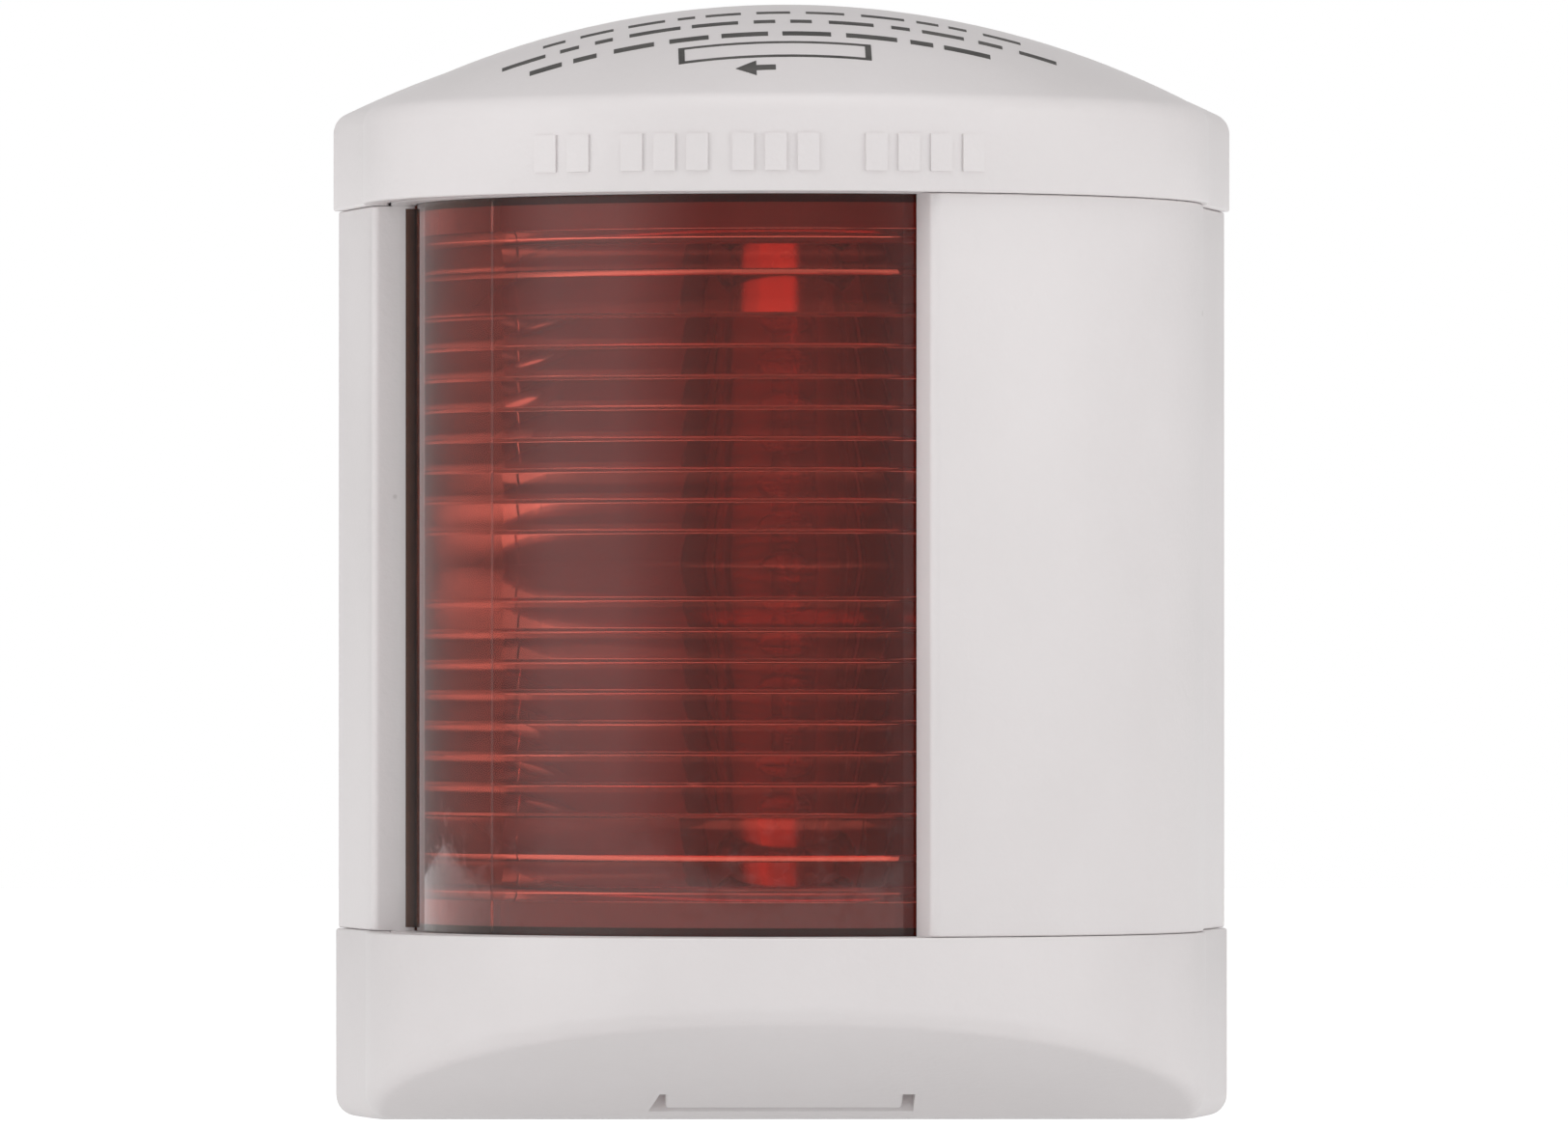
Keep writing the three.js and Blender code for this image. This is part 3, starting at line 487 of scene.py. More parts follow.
def jamb_corner(offset, angle, towards):
    """Points that round the screen's outer arc into the face of a jamb at a direction in degrees."""
    radius = SHELL_RADIUS + offset
    a = math.radians(angle)
    out = Vector((math.sin(a), -math.cos(a)))
    along = Vector((math.cos(a), math.sin(a))) * towards
    centre = out * (radius - JAMB_ROUND) - along * JAMB_ROUND
    points = []
    for step in range(9):
        t = math.pi / 2 * step / 8
        p = centre + out * JAMB_ROUND * math.cos(t) + along * JAMB_ROUND * math.sin(t)
        points.append((p.x, AXIS_Y + p.y))
    return points


def side_section(sign, offset):
    """Plan of one side of the screen, from its back edge round its jamb and back along its inside."""
    edge = SECTOR_RIGHT if sign > 0 else SECTOR_LEFT
    inner = -SHELL_WALL
    rounding = math.degrees(JAMB_ROUND / SHELL_RADIUS)
    start = flare_angle(offset) * sign
    count = 60 if sign > 0 else 3
    stop = edge + sign * rounding
    points = side(offset, -WALL_GAP, sign)
    if abs(start) > abs(stop):
        points += arc(SHELL_RADIUS + offset, start, stop, count)[1:-1]
    corner = jamb_corner(offset, edge, -sign)
    if sign < 0:
        points = [p for p in points if p[1] > corner[0][1] + 0.1]
    points += corner
    shoulder = edge + sign * JAMB_ANGLE
    points += arc(JAMB_INNER, edge, shoulder, 6)
    back = flare_angle(inner) * sign
    if sign > 0:
        points += arc(SHELL_RADIUS + inner, shoulder, back, 48)
    points += side(inner, -WALL_GAP, sign)[::-1]
    return points


def make_side(sign):
    """One side of the screen, its outer edges rounded at the seams."""
    half = WINDOW - SEAM_GAP
    sections = []
    for end in (-1, 1):
        rows = []
        for step in range(5):
            turn = math.pi / 2 * step / 4
            offset = -SEAM_ROUND * (1 - math.sin(turn))
            z = end * (half - SEAM_ROUND * (1 - math.cos(turn)))
            rows.append([(x, y, z) for x, y in side_section(sign, offset)])
        sections += rows if end < 0 else rows[::-1]
    return loft("side", sections)


def collar_path(offset, side_only=0):
    """Plan of the screen's collar, from its right back end round the front to its left back end."""
    path = plan(offset, FLANGE_Y[0] - COLLAR_SETBACK)
    if side_only:
        path = [p for p in path if p[0] * side_only > 0 and p[1] > LAP_FRONT_Y[side_only]]
    return path


def collar(name, low, high, side_only=0):
    """A band inside the cover between two heights, the whole way round or on one side only."""
    outside = collar_path(COLLAR_OUTSIDE, side_only)
    inside = collar_path(COLLAR_OUTSIDE - COLLAR_WALL, side_only)
    return prism(name, outside + inside[::-1], low, high)


def make_screen():
    half = WINDOW - SEAM_GAP
    parts = [make_side(1), make_side(-1), flange("side_flange", -half + 0.01, half - 0.01)]
    for end in (-1, 1):
        parts.append(collar("collar", *sorted((end * half, end * (WINDOW + COLLAR_HEIGHT)))))
        for sign in (-1, 1):
            span = sorted((end * (WINDOW - COLLAR_LAP), end * (half + LAP_HEIGHT)))
            parts.append(collar("lap", *span, sign))
    return join("screen_body", parts)


# ---- Lens ----------------------------------------------------------------------------------------

LENS_WALL = 1.6
LENS_LAP = 2.2
LENS_CLEARANCE = 0.3
LIP_HEIGHT = 0.85
# Height of the bands along the lens's top and bottom edges that carry painted shade.
PAINTED_SHADE_BAND = 0.35
LIP_START = SECTOR_LEFT + 0.6
LIP_END = LIP_START + 3.2
MOULD_LINE = -52.6
MOULD_HALF = 0.3
MOULD_DEPTH = 0.06
RIB_DEPTH = 0.8
RIB_STEP = 0.3
COARSE_STEP = 0.45
RIB_FIRST = 2.3
RIB_PITCH = 2.24
EDGE_RIBS = (5.9, 3.6, 2.5)


def rib_profile():
    """The lens's inside from bottom to top: saw-tooth ribs that catch the light."""
    root = LENS_RADIUS - LENS_WALL
    coarse = [WINDOW - inset for inset in EDGE_RIBS]
    edges = []
    edge = RIB_FIRST
    while edge < coarse[0] - RIB_PITCH:
        edges.append(edge)
        edge += RIB_PITCH
    edges += coarse
    half = [(root - RIB_DEPTH, 0.0)]
    for index, edge in enumerate(edges):
        half += [(root - 0.06, edge - 0.05), (root, edge + 0.02)]
        if index < len(edges) - 1:
            crest = root - RIB_DEPTH
            step = COARSE_STEP if edge in coarse else RIB_STEP
            half += [(crest + 0.06, edge + step - 0.03), (crest, edge + step + 0.05)]
    half.append((root, WINDOW + LENS_LAP))
    return [(r, -z) for r, z in half[:0:-1]] + half


def make_lens():
    """A turned sector: smooth outside but for the lip at its forward edge, ribbed inside; edge loops on its
    outside bound the painted shade bands at top and bottom.
    """
    top = WINDOW + LENS_LAP
    lip = WINDOW - LENS_CLEARANCE
    start, end = SECTOR_LEFT - LENS_LAP_ANGLE, SECTOR_RIGHT + LENS_LAP_ANGLE
    hair = 1e-4
    angles = [(start, 0), (LIP_START - hair, 0), (LIP_START, 1), (LIP_END, 1), (LIP_END + hair, 0)]
    steps = 150
    angles += [(LIP_END + (end - LIP_END) * (step + 1) / steps, 0) for step in range(steps)]
    angles += [(MOULD_LINE - MOULD_HALF, 0), (MOULD_LINE, -1), (MOULD_LINE + MOULD_HALF, 0)]
    angles.sort(key=lambda pair: pair[0])
    sections = []
    for angle, lipped in angles:
        tall = LENS_RADIUS + (LIP_HEIGHT if lipped > 0 else MOULD_DEPTH) * lipped
        outer = [
            (LENS_RADIUS, top), (LENS_RADIUS, lip), (tall, lip), (tall, lip - PAINTED_SHADE_BAND),
            (tall, PAINTED_SHADE_BAND - lip), (tall, -lip), (LENS_RADIUS, -lip), (LENS_RADIUS, -top)]
        a = math.radians(angle)
        sections.append([
            (r * math.sin(a), AXIS_Y - r * math.cos(a), z) for r, z in rib_profile() + outer])
    return loft("lens_body", sections)


# ---- Marks: plain stand-ins for the printing and the raised rating --------------------------------

INK_DEPTH = 0.05
INK_HEIGHT = 0.02
BAR_WIDTH = 1.55
BAR_PITCH = 2.35
BAR_Z = (WINDOW + 1.5, WINDOW + 4.2)


def patch(name, corners, surface, depth, height, across=10, along=4):
    """A thin closed slab over a surface: corners in the surface's own two coordinates."""
    verts, faces = [], []
    (u0, v0), (u1, v1), (u2, v2), (u3, v3) = corners
    for level in (height, -depth):
        for j in range(along + 1):
            t = j / along
            for i in range(across + 1):
                s = i / across
                u = (u0 * (1 - s) + u1 * s) * (1 - t) + (u3 * (1 - s) + u2 * s) * t
                v = (v0 * (1 - s) + v1 * s) * (1 - t) + (v3 * (1 - s) + v2 * s) * t
                verts.append(surface(u, v, level))
    row = across + 1
    layer = row * (along + 1)
    for j in range(along):
        for i in range(across):
            a = j * row + i
            faces.append((a, a + 1, a + row + 1, a + row))
            faces.append((layer + a, layer + a + row, layer + a + row + 1, layer + a + 1))
    border = (
        [i for i in range(across)] + [j * row + across for j in range(along)]
        + [along * row + i for i in range(across, 0, -1)] + [j * row for j in range(along, 0, -1)])
    for a, b in zip(border, border[1:] + border[:1]):
        faces.append((a, b, layer + b, layer + a))
    return make_object(name, verts, faces)


def on_dome(x, y, level):
    return (x, y, dome(x, y) + level)


def on_band(x, z, level):
    radius = SHELL_RADIUS + CAP_PROUD + level
    a = math.asin(x / (SHELL_RADIUS + CAP_PROUD))
    return (radius * math.sin(a), AXIS_Y - radius * math.cos(a), z)


def bar(name, surface, u0, u1, v0, v1, depth, height):
    return patch(name, [(u0, v0), (u1, v0), (u1, v1), (u0, v1)], surface, depth, height)


def print_bar(name, x0, x1, y0, y1):
    return bar(name, on_dome, x0, x1, y0, y1, INK_DEPTH, INK_HEIGHT)


def make_printing():
    """Three rows of plain dashes, an empty frame and an arrow, printed on the dome."""
    rng = random.Random(41)
    parts = []
    for y, x0, x1 in ((-36.2, -19.0, 16.5), (-32.4, -21.0, 19.5), (-28.6, -18.0, 17.0)):
        x = x0
        while x < x1 - 1.2:
            length = min(rng.uniform(1.2, 4.2), x1 - x)
            parts.append(print_bar("dash", x, x + length, y - 0.55, y + 0.55))
            x += length + rng.uniform(0.7, 1.3)
    left, right, front, back, line = -8.2, 5.8, -41.6, -38.2, 0.45
    parts += [
        print_bar("frame", left, right, front, front + line),
        print_bar("frame", left, right, back - line, back),
        print_bar("frame", left, left + line, front + line, back - line),
        print_bar("frame", right - line, right, front + line, back - line),
    ]
    tip, neck, tail, y = -4.1, -2.6, -1.2, -43.5
    parts.append(print_bar("shaft", neck, tail, y - 0.45, y + 0.45))
    head = [(tip, y), (neck, y - 1.3), (neck, y + 1.3), (tip, y + 0.02)]
    parts.append(patch("head", head, on_dome, INK_DEPTH, INK_HEIGHT))
    return join("cap_printing", parts)


def make_raised_bars():
    """Groups of low upright bars on the cap's band, where the real one carries its rating."""
    parts = []
    for start, count in ((-18.6, 2), (-12.4, 3), (-4.4, 3), (5.2, 4)):
        for index in range(count):
            x = start + index * BAR_PITCH
            parts.append(bar("bar", on_band, x, x + BAR_WIDTH, *BAR_Z, 0.3, 0.16))
    return join("cap_raised_bars", parts)


# ---- Materials -----------------------------------------------------------------------------------

def new_material(name):
    material = bpy.data.materials.new(name)
    material.use_nodes = True
    nodes = material.node_tree.nodes
    shader = nodes["Principled BSDF"]
    return material, nodes, material.node_tree.links, shader


def add_noise(nodes, links, scale, detail=4.0, roughness=0.55, coordinates="Object"):
    where = nodes.new("ShaderNodeTexCoord")
    noise = nodes.new("ShaderNodeTexNoise")
    noise.inputs["Scale"].default_value = scale
    noise.inputs["Detail"].default_value = detail
    noise.inputs["Roughness"].default_value = roughness
    links.new(where.outputs[coordinates], noise.inputs["Vector"])
    return noise


def add_ramp(nodes, links, value, stops):
    ramp = nodes.new("ShaderNodeValToRGB")
    elements = ramp.color_ramp.elements
    while len(elements) < len(stops):
        elements.new(0.5)
    for element, (position, colour) in zip(elements, stops):
        element.position = position
        element.color = (*colour, 1) if len(colour) == 3 else colour
    links.new(value, ramp.inputs["Fac"])
    return ramp


def map_range(nodes, links, value, source, target):
    """A value mapped in a straight line from one range to another, and held at its ends."""
    node = nodes.new("ShaderNodeMapRange")
    node.inputs["From Min"].default_value, node.inputs["From Max"].default_value = source
    node.inputs["To Min"].default_value, node.inputs["To Max"].default_value = target
    links.new(value, node.inputs["Value"])
    return node.outputs["Result"]


def multiply(nodes, links, first, second):
    node = nodes.new("ShaderNodeMath")
    node.operation = "MULTIPLY"
    links.new(first, node.inputs[0])
    links.new(second, node.inputs[1])
    return node.outputs["Value"]


def add_bump(nodes, links, shader, height, distance, strength=1.0, normal=None):
    bump = nodes.new("ShaderNodeBump")
    bump.inputs["Strength"].default_value = strength
    bump.inputs["Distance"].default_value = distance
    links.new(height, bump.inputs["Height"])
    if normal is not None:
        links.new(normal, bump.inputs["Normal"])
    links.new(bump.outputs["Normal"], shader.inputs["Normal"])
    return bump.outputs["Normal"]


def add_specks(nodes, links, colour, scale, size, strength, speck_colour):
    """Mixes sparse small dots of another colour into a colour."""
    dots = nodes.new("ShaderNodeTexVoronoi")
    dots.inputs["Scale"].default_value = scale
    where = nodes.new("ShaderNodeTexCoord")
    links.new(where.outputs["Object"], dots.inputs["Vector"])
    mask = add_ramp(
        nodes, links, dots.outputs["Distance"],
        [(size * 0.5, (strength,) * 3), (size, (0, 0, 0))])
    few = add_ramp(nodes, links, dots.outputs["Color"], [(0.74, (0, 0, 0)), (0.80, (1, 1, 1))])
    both = multiply(nodes, links, mask.outputs["Color"], few.outputs["Color"])
    mix = nodes.new("ShaderNodeMix")
    mix.data_type = "RGBA"
    colours = [socket for socket in mix.inputs if socket.type == "RGBA"]
    colours[1].default_value = speck_colour
    links.new(both, mix.inputs["Factor"])
    links.new(colour, colours[0])
    return [socket for socket in mix.outputs if socket.type == "RGBA"][0]


def moulded(name, dark, light, roughness, grain=1400.0, depth=0.00003, specks=0.0, mottle=45.0):
    """Moulded plastic: a slow drift of tone, a fine grain, roughness that varies, and a few dirt specks."""
    material, nodes, links, shader = new_material(name)
    drift = add_noise(nodes, links, mottle, 5.0)
    tone = add_ramp(nodes, links, drift.outputs["Fac"], [(0.32, dark), (0.68, light)])
    colour = tone.outputs["Color"]
    if specks:
        colour = add_specks(nodes, links, colour, 150.0, 0.045, specks, (0.12, 0.08, 0.06, 1))
    links.new(colour, shader.inputs["Base Color"])
    fine = add_noise(nodes, links, grain, 2.0)
    gloss = add_ramp(
        nodes, links, drift.outputs["Fac"],
        [(0.3, (roughness - 0.05,) * 3), (0.7, (roughness + 0.06,) * 3)])
    links.new(gloss.outputs["Color"], shader.inputs["Roughness"])
    add_bump(nodes, links, shader, fine.outputs["Fac"], depth)
    shader.inputs["IOR"].default_value = 1.5
    return material


def metal(name, dark, light, roughness, grain=900.0, depth=0.00001):
    """Stamped or turned metal with a little tarnish."""
    material, nodes, links, shader = new_material(name)
    drift = add_noise(nodes, links, 320.0, 5.0)
    tone = add_ramp(nodes, links, drift.outputs["Fac"], [(0.35, dark), (0.65, light)])
    links.new(tone.outputs["Color"], shader.inputs["Base Color"])
    shader.inputs["Metallic"].default_value = 1.0
    gloss = add_ramp(
        nodes, links, drift.outputs["Fac"],
        [(0.3, (roughness + 0.12,) * 3), (0.7, (roughness - 0.04,) * 3)])
    links.new(gloss.outputs["Color"], shader.inputs["Roughness"])
    fine = add_noise(nodes, links, grain, 3.0)
    add_bump(nodes, links, shader, fine.outputs["Fac"], depth)
    return material


def clear(name, colour, roughness, scratches=0.0, specks=0.0, ior=1.49, haze=0.04):
    """Clear or coloured transparent plastic or glass: a little haze, scratches and dust in its surface."""
    material, nodes, links, shader = new_material(name)
    shader.inputs["Transmission Weight"].default_value = 1.0 - haze
    shader.inputs["IOR"].default_value = ior
    drift = add_noise(nodes, links, 60.0, 4.0)
    tone = add_ramp(
        nodes, links, drift.outputs["Fac"],
        [(0.3, tuple(c * 0.94 for c in colour)), (0.7, tuple(min(1.0, c * 1.06) for c in colour))])
    tint = tone.outputs["Color"]
    if specks:
        tint = add_specks(nodes, links, tint, 420.0, 0.05, specks, (0.85, 0.52, 0.47, 1))
    links.new(tint, shader.inputs["Base Color"])
    wear = add_noise(nodes, links, 700.0, 6.0, 0.7)
    gloss = add_ramp(
        nodes, links, wear.outputs["Fac"],
        [(0.5, (roughness,) * 3), (0.75, (roughness + scratches,) * 3)])
    links.new(gloss.outputs["Color"], shader.inputs["Roughness"])
    return material


CASING = moulded("casing_plastic", (0.690, 0.655, 0.655), (0.730, 0.694, 0.696), 0.42, specks=0.55)
PLATE = moulded("plate_plastic", (0.50, 0.48, 0.48), (0.56, 0.54, 0.54), 0.5)
NYLON = moulded("terminal_plastic", (0.24, 0.19, 0.16), (0.30, 0.24, 0.20), 0.4)
BLACK = moulded("carrier_plastic", (0.012, 0.012, 0.012), (0.022, 0.021, 0.021), 0.42)
RUBBER = moulded("seal_rubber", (0.016, 0.016, 0.016), (0.030, 0.029, 0.028), 0.75, 700.0, 0.00005)
INK = moulded("printing_ink", (0.05, 0.048, 0.046), (0.10, 0.095, 0.09), 0.6, 2600.0, 0.00001, mottle=400.0)
BRASS = metal("contact_brass", (0.10, 0.07, 0.03), (0.20, 0.14, 0.065), 0.42)
STEEL = metal("screw_steel", (0.46, 0.45, 0.43), (0.66, 0.65, 0.62), 0.25)
NICKEL = metal("lamp_cap_nickel", (0.55, 0.52, 0.48), (0.76, 0.74, 0.70), 0.24)
WIRE = metal("filament_wire", (0.20, 0.20, 0.21), (0.36, 0.36, 0.37), 0.35)
GLASS = clear("bulb_glass_clear", (0.97, 0.98, 0.97), 0.0, haze=0.02)
RED = clear("red_lens_outside", (0.88, 0.15, 0.10), 0.02, 0.08, specks=0.7, ior=1.58, haze=0.055)
RED_RIBS = clear("red_lens_ribs", (0.88, 0.15, 0.11), 0.05, 0.05, ior=1.58)
# Inside of the lens left of the mould line: a rougher surface, and a darker red that is painted shade.
RED_SIDE_PAINTED_SHADE = clear("red_lens_side_painted_shade", (0.50, 0.11, 0.09), 0.22, 0.05, ior=1.58)
# Painted shade: a dark brown red for the lens's forward lip and for the bands along its top and bottom
# edges.
RED_PAINTED_SHADE = clear("red_lens_painted_shade", (0.16, 0.075, 0.05), 0.12, 0.05)


def dress(obj, material, body, nodes=(), angle=35.0):
    """Gives a piece its material, body and shading, and hides the CAD nodes that it stands for."""
    obj.data.materials.clear()
    obj.data.materials.append(material)
    smooth(obj, angle)
    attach(obj, body)
    if nodes:
        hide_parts(*nodes)
    return obj


# ---- Pieces of the cover --------------------------------------------------------------------------

dress(make_cap(), CASING, "cover", ["top_cap"])
dress(make_screen(), CASING, "cover", ["screen_shell"])
dress(make_bottom(), CASING, "cover", ["bottom_cap"])
red_lens = dress(make_lens(), RED, "cover", ["lens"], 25.0)
red_lens.data.materials.append(RED_RIBS)
red_lens.data.materials.append(RED_PAINTED_SHADE)
red_lens.data.materials.append(RED_SIDE_PAINTED_SHADE)
for face in red_lens.data.polygons:
    from_axis = Vector((face.center.x / MM, face.center.y / MM - AXIS_Y))
    reach = from_axis.length
    if reach < LENS_RADIUS - LENS_WALL / 2:
        # Inner faces left of the mould line take the darker red of painted shade; the rest take the plain
        # rib red.
        sideways = math.degrees(math.atan2(from_axis.x, -from_axis.y)) < MOULD_LINE
        face.material_index = 3 if sideways else 1
    # The lip and the edge bands take the painted shade.
    elif reach > LENS_RADIUS + 0.05 or abs(face.center.z / MM) > WINDOW - LENS_CLEARANCE - PAINTED_SHADE_BAND:
        face.material_index = 2
dress(make_printing(), INK, "cover")
dress(make_raised_bars(), CASING, "cover")


# ---- The lamp and its fittings -------------------------------------------------------------------

def make_glass():
    """The lamp's glass: a tube drawn in at both ends, walls included."""
    radius = (GLASS_HIGH.x - GLASS_LOW.x) / 2
    end = GLASS_HIGH.z
    neck = 3.85
    wall = 0.7
    shoulder, inner_shoulder = 1.9, 2.3
    outer, inner = [], []
    for step in range(13):
        t = math.pi / 2 * step / 12
        draw = (radius - neck) * math.cos(t)
        outer.append((neck + draw, end - shoulder + shoulder * math.sin(t)))
        inner.append((neck - wall + draw, end - inner_shoulder + inner_shoulder * math.sin(t)))
    lower = [(r, -z) for r, z in outer[::-1]]
    lower_inner = [(r, -z) for r, z in inner]
    profile = lower + outer + inner[::-1] + lower_inner
    return turned("lamp_glass", profile, (0, AXIS_Y, 0))


def make_lamp_cap(sign):
    """A pressed end cap with a rounded shoulder and a blunt point."""
    start, end = GLASS_HIGH.z + 0.2, box_mm("bulb_cap_upper")[1].z
    radius = 4.25
    profile = [(0, start), (radius - 0.12, start), (radius, start + 0.12), (radius, end - 2.9)]
    for step in range(1, 7):
        t = math.pi / 2 * step / 6
        profile.append((radius - 1.0 + 1.0 * math.cos(t), end - 2.9 + 0.9 * math.sin(t)))
    profile += [(2.2, end - 1.75), (1.5, end - 1.1), (1.15, end - 0.35), (0.8, end - 0.05), (0, end)]
    if sign < 0:
        profile = [(r, -z) for r, z in profile]
    return turned("lamp_cap_upper" if sign > 0 else "lamp_cap_lower", profile, (0, AXIS_Y, 0), segments=72)


def tube(name, path, radius, sides=10):
    """A round wire along a path."""
    verts, faces = [], []
    count = len(path)
    for index, point in enumerate(path):
        before, after = path[max(0, index - 1)], path[min(count - 1, index + 1)]
        along = (Vector(after) - Vector(before)).normalized()
        if abs(along.y) > 0.99:
            across = along.orthogonal().normalized()
        else:
            across = along.cross(Vector((0, 1, 0))).normalized()
        up = along.cross(across)
        for side_index in range(sides):
            t = 2 * math.pi * side_index / sides
            verts.append(Vector(point) + radius * (across * math.cos(t) + up * math.sin(t)))
    for row in range(count - 1):
        for i in range(sides):
            j = (i + 1) % sides
            a, b = row * sides, (row + 1) * sides
            faces.append((a + i, a + j, b + j, b + i))
    faces.append(tuple(range(sides)))
    faces.append(tuple((count - 1) * sides + i for i in reversed(range(sides))))
    return make_object(name, verts, faces)


def make_filament():
    """Two support wires with a coiled filament strung between them."""
    end = GLASS_HIGH.z - 0.2
    parts = []
    for sign in (-1, 1):
        bends = [(0.0, end), (0.5, 10.5), (0.9, 8.6), (0.5, 7.2)]
        parts.append(tube("support", [(x, AXIS_Y, sign * z) for x, z in bends], 0.22))
    turns = 34
    steps = turns * 12
    half_length, coil_radius, sag_depth = 7.3, 0.32, 0.5
    coil = []
    for step in range(steps + 1):
        t = step / steps
        a = 2 * math.pi * turns * t
        z = -half_length + 2 * half_length * t
        sag = sag_depth * (1 - (2 * t - 1) ** 2)
        coil.append((0.5 - sag + coil_radius * math.cos(a), AXIS_Y + coil_radius * math.sin(a), z))
    parts.append(tube("coil", coil, 0.07, 6))
    return join("lamp_filament", parts)


# Painted light: white strips on the black carrier stand in for bright bands of light on its web.
PAINTED_LIGHT_STRIP_X = ((-6.1, -1.2), (3.2, 6.1))
PAINTED_LIGHT_STRIP_HALF = 16.9


def make_painted_light_strips():
    """Two white strips on the carrier's web, either side of a bare middle band: painted light for bright
    bands on the web, with the black carrier beside them as painted shade.
    """
    web = box_mm("upper_bus_strip")[1].y + 0.1
    return join("carrier_painted_light_strips", [
        block("strip", x0, x1, web - 0.06, web + 0.02, -PAINTED_LIGHT_STRIP_HALF, PAINTED_LIGHT_STRIP_HALF)
        for x0, x1 in PAINTED_LIGHT_STRIP_X])


# The white strips are painted light on the carrier.
dress(make_painted_light_strips(), CASING, "base")
dress(make_glass(), GLASS, "base", ["bulb_glass"])
dress(make_lamp_cap(1), NICKEL, "base", ["bulb_cap_upper"])
dress(make_lamp_cap(-1), NICKEL, "base", ["bulb_cap_lower"])
dress(make_filament(), WIRE, "base", ["filament"])


def pan_screw(node, name, shank_radius=1.4):
    """A slotted pan-head screw in the place of a CAD screw, its axis square to the wall."""
    low, high = box_mm(node)
    centre = ((low.x + high.x) / 2, 0, (low.z + high.z) / 2)
    head = (high.x - low.x) / 2
    top, tail = low.y, high.y
    thickness = 1.8 if "terminal" in node else 1.6
    profile = [(0, tail), (shank_radius, tail), (shank_radius, top + thickness), (head, top + thickness)]
    for step in range(7):
        t = math.pi / 2 * step / 6
        profile.append((head - 0.7 + 0.7 * math.cos(t), top + 0.75 - 0.7 * math.sin(t)))
    profile.append((0, top))
    screw = turned(name, profile, centre, "Y", 48)
    x, _, z = centre
    cut = block("slot", x - 4, x + 4, top - 1, top + 0.7, z - 0.35, z + 0.35)
    boolean(screw, cut, "DIFFERENCE")
    return screw


for end in ("upper", "lower"):
    for kind, material, slot_name in (("terminal", BRASS, "contact_brass"), ("carrier", STEEL, "stainless")):
        node = f"{kind}_screw_{end}"
        dress(pan_screw(node, f"{node}_head"), material, "base", [node])


# ---- CAD nodes that keep their shape --------------------------------------------------------------

KEPT = {
    "base_plate": (PLATE, 0.25), "cover_seal": (RUBBER, 0.2), "cable_grommet": (RUBBER, 0.25),
    "lamp_carrier": (BLACK, 0.25), "terminal_block": (NYLON, 0.3), "release_latch": (CASING, 0.2),
    "lens_seal_upper": (RUBBER, 0.15), "lens_seal_lower": (RUBBER, 0.15),
    "upper_bus_strip": (BRASS, 0.08), "lower_bus_strip": (BRASS, 0.08),
    "upper_contact": (BRASS, 0.08), "lower_contact": (BRASS, 0.08),
    "contact_rivet_upper": (BRASS, 0.08), "contact_rivet_lower": (BRASS, 0.08),
    "wire_clamp_upper": (BRASS, 0.12), "wire_clamp_lower": (BRASS, 0.12),
}
for node_name, (node_material, rounding) in KEPT.items():
    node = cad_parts[node_name]
    node.data.materials.clear()
    node.data.materials.append(node_material)
    weld = node.modifiers.new("weld", "WELD")
    weld.merge_threshold = 0.000002
    bevel(node, rounding, 3, 30)


# ---- Stage: floor, lights, camera ----------------------------------------------------------------

FLOOR_DROP = 22.0
FLOOR_HALF = 3.0


def make_floor():
    """A pale floor that glows softly far from the light, so that it meets the white behind."""
    z = (UNDERSIDE - FLOOR_DROP) * MM
    mesh = bpy.data.meshes.new("floor")
    corners = [(x * FLOOR_HALF, y * FLOOR_HALF, z) for x, y in ((-1, -1), (1, -1), (1, 1), (-1, 1))]
    mesh.from_pydata(corners, [], [(0, 1, 2, 3)])
    floor = bpy.data.objects.new("floor", mesh)
    bpy.context.scene.collection.objects.link(floor)
    material, nodes, links, shader = new_material("floor_paper")
    noise = add_noise(nodes, links, 3.0)
    tone = add_ramp(nodes, links, noise.outputs["Fac"], [(0.3, (0.93,) * 3), (0.7, (0.95,) * 3)])
    links.new(tone.outputs["Color"], shader.inputs["Base Color"])
    shader.inputs["Roughness"].default_value = 0.9
    shader.inputs["Emission Color"].default_value = (1, 1, 1, 1)
    where = nodes.new("ShaderNodeTexCoord")
    reach = nodes.new("ShaderNodeVectorMath")
    reach.operation = "LENGTH"
    links.new(where.outputs["Object"], reach.inputs[0])
    glow = map_range(nodes, links, reach.outputs["Value"], (0.2, 0.7), (0.1, 0.65))
    links.new(glow, shader.inputs["Emission Strength"])
    mesh.materials.append(material)


def make_light(name, location, energy, size, through_lens=True):
    """A soft light aimed at the middle, with no image of itself in glossy surfaces."""
    data = bpy.data.lights.new(name, "AREA")
    data.shape = "RECTANGLE"
    data.size = data.size_y = size
    data.energy = energy
    light = bpy.data.objects.new(name, data)
    light.location = Vector(location)
    light.rotation_euler = (-Vector(location)).to_track_quat("-Z", "Y").to_euler()
    light.visible_glossy = False
    light.visible_transmission = through_lens
    light.visible_camera = False
    bpy.context.scene.collection.objects.link(light)
    return light


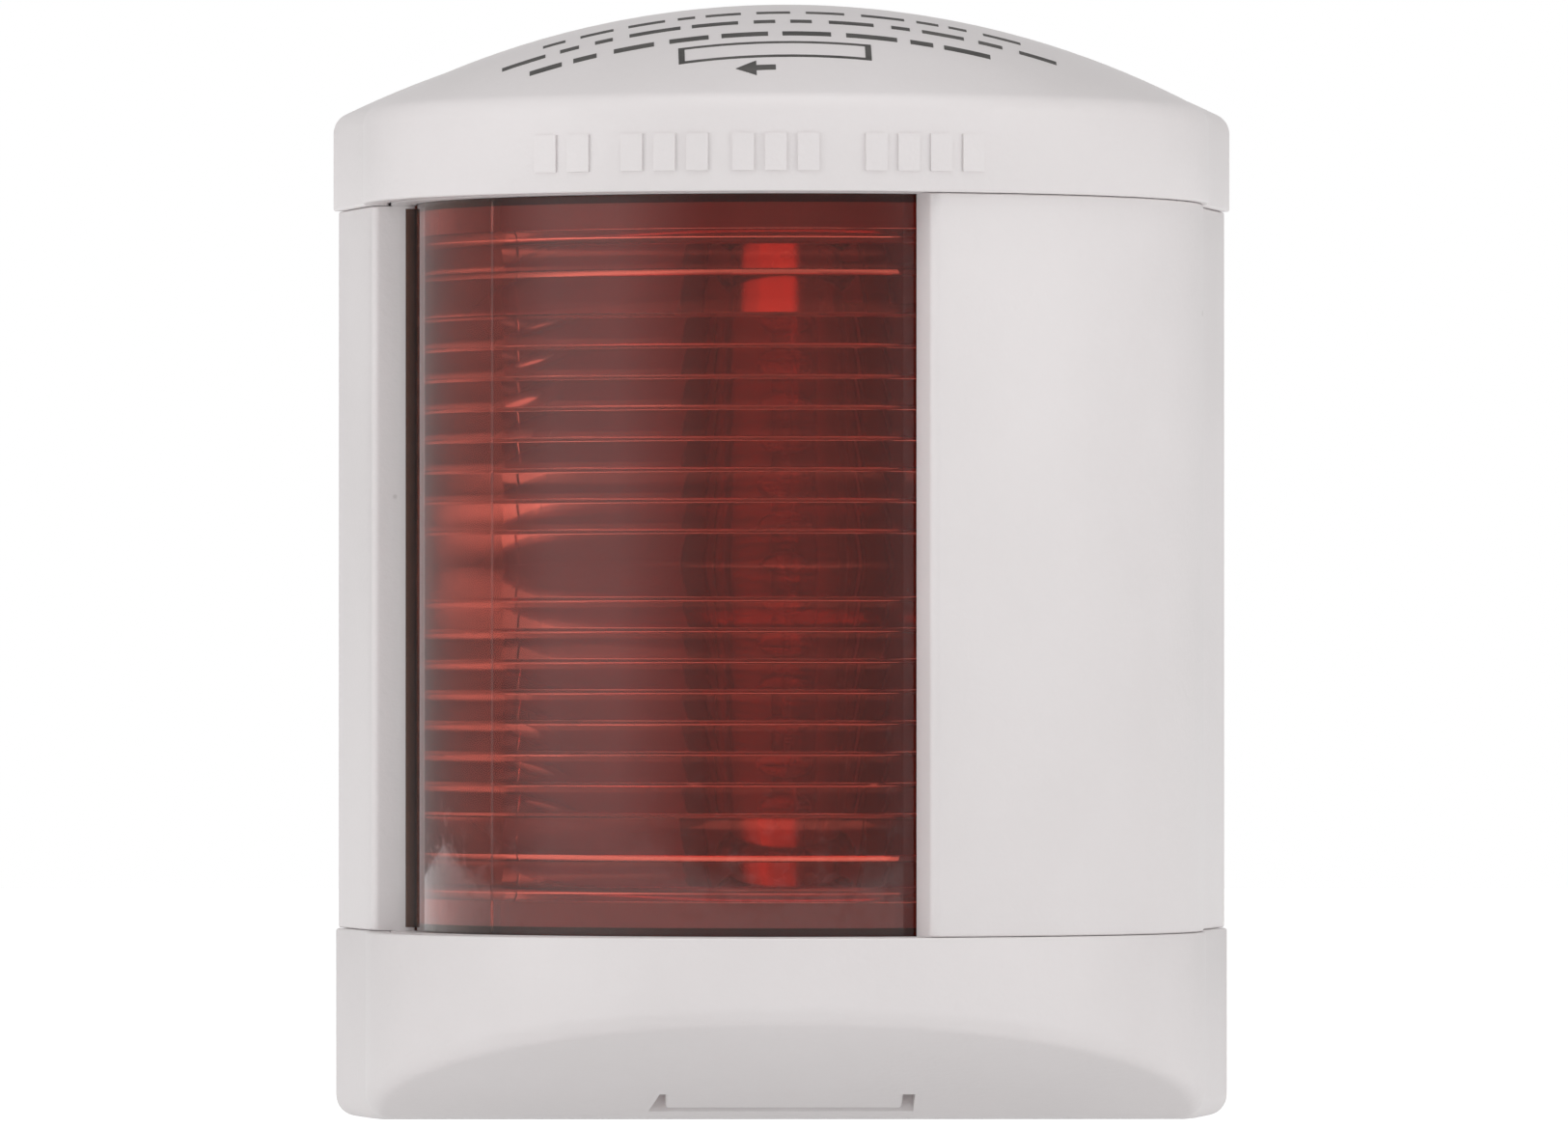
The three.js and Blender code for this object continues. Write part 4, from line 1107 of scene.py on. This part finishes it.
def make_world():
    """White behind the light, bright at its sides, dimmer towards the camera, the right and overhead."""
    world = bpy.data.worlds.new("studio")
    world.use_nodes = True
    bpy.context.scene.world = world
    nodes, links = world.node_tree.nodes, world.node_tree.links
    background = nodes["Background"]
    where = nodes.new("ShaderNodeTexCoord")
    split = nodes.new("ShaderNodeSeparateXYZ")
    links.new(where.outputs["Generated"], split.inputs["Vector"])
    across = map_range(nodes, links, split.outputs["Y"], (-1.0, 1.0), (0.0, 1.0))
    around = add_ramp(nodes, links, across, [
        (0.05, (0.30,) * 3), (0.21, (1.0,) * 3), (0.40, (1.0,) * 3),
        (0.60, (0.36,) * 3), (0.965, (0.36,) * 3), (0.99, (1.0,) * 3)])
    above = map_range(nodes, links, split.outputs["Z"], (0.1, 0.7), (1.0, 0.70))
    right = map_range(nodes, links, split.outputs["X"], (0.1, 0.6), (1.0, 0.85))
    both = multiply(nodes, links, around.outputs["Color"], above)
    links.new(multiply(nodes, links, both, right), background.inputs["Strength"])
    background.inputs["Color"].default_value = (1.0, 1.0, 1.0, 1)


CAMERA_PLACE = (-20.5, -1148.6, -9)
CAMERA_AIM = (-0.7, -48.6, 0)
CAMERA_LENS = 351


def make_camera():
    data = bpy.data.cameras.new("camera")
    data.lens = CAMERA_LENS
    data.sensor_width = 36
    data.clip_end = 20
    camera = bpy.data.objects.new("camera", data)
    camera.location = Vector(CAMERA_PLACE) * MM
    look = Vector(CAMERA_AIM) * MM - camera.location
    camera.rotation_euler = look.to_track_quat("-Z", "Y").to_euler()
    bpy.context.scene.collection.objects.link(camera)
    bpy.context.scene.camera = camera


make_camera()
make_floor()
make_world()
make_light("front_soft", (-0.1, -1.4, 0.4), 0.4, 0.7)
make_light("left_soft", (-1.15, -0.45, 0.05), 5.8, 0.8, through_lens=False)
make_light("right_soft", (1.1, -0.5, 0.05), 5.9, 0.8)
make_light("top_soft", (0.0, -0.4, 1.1), 4.2, 0.8)
bpy.context.scene.view_settings.view_transform = "Standard"
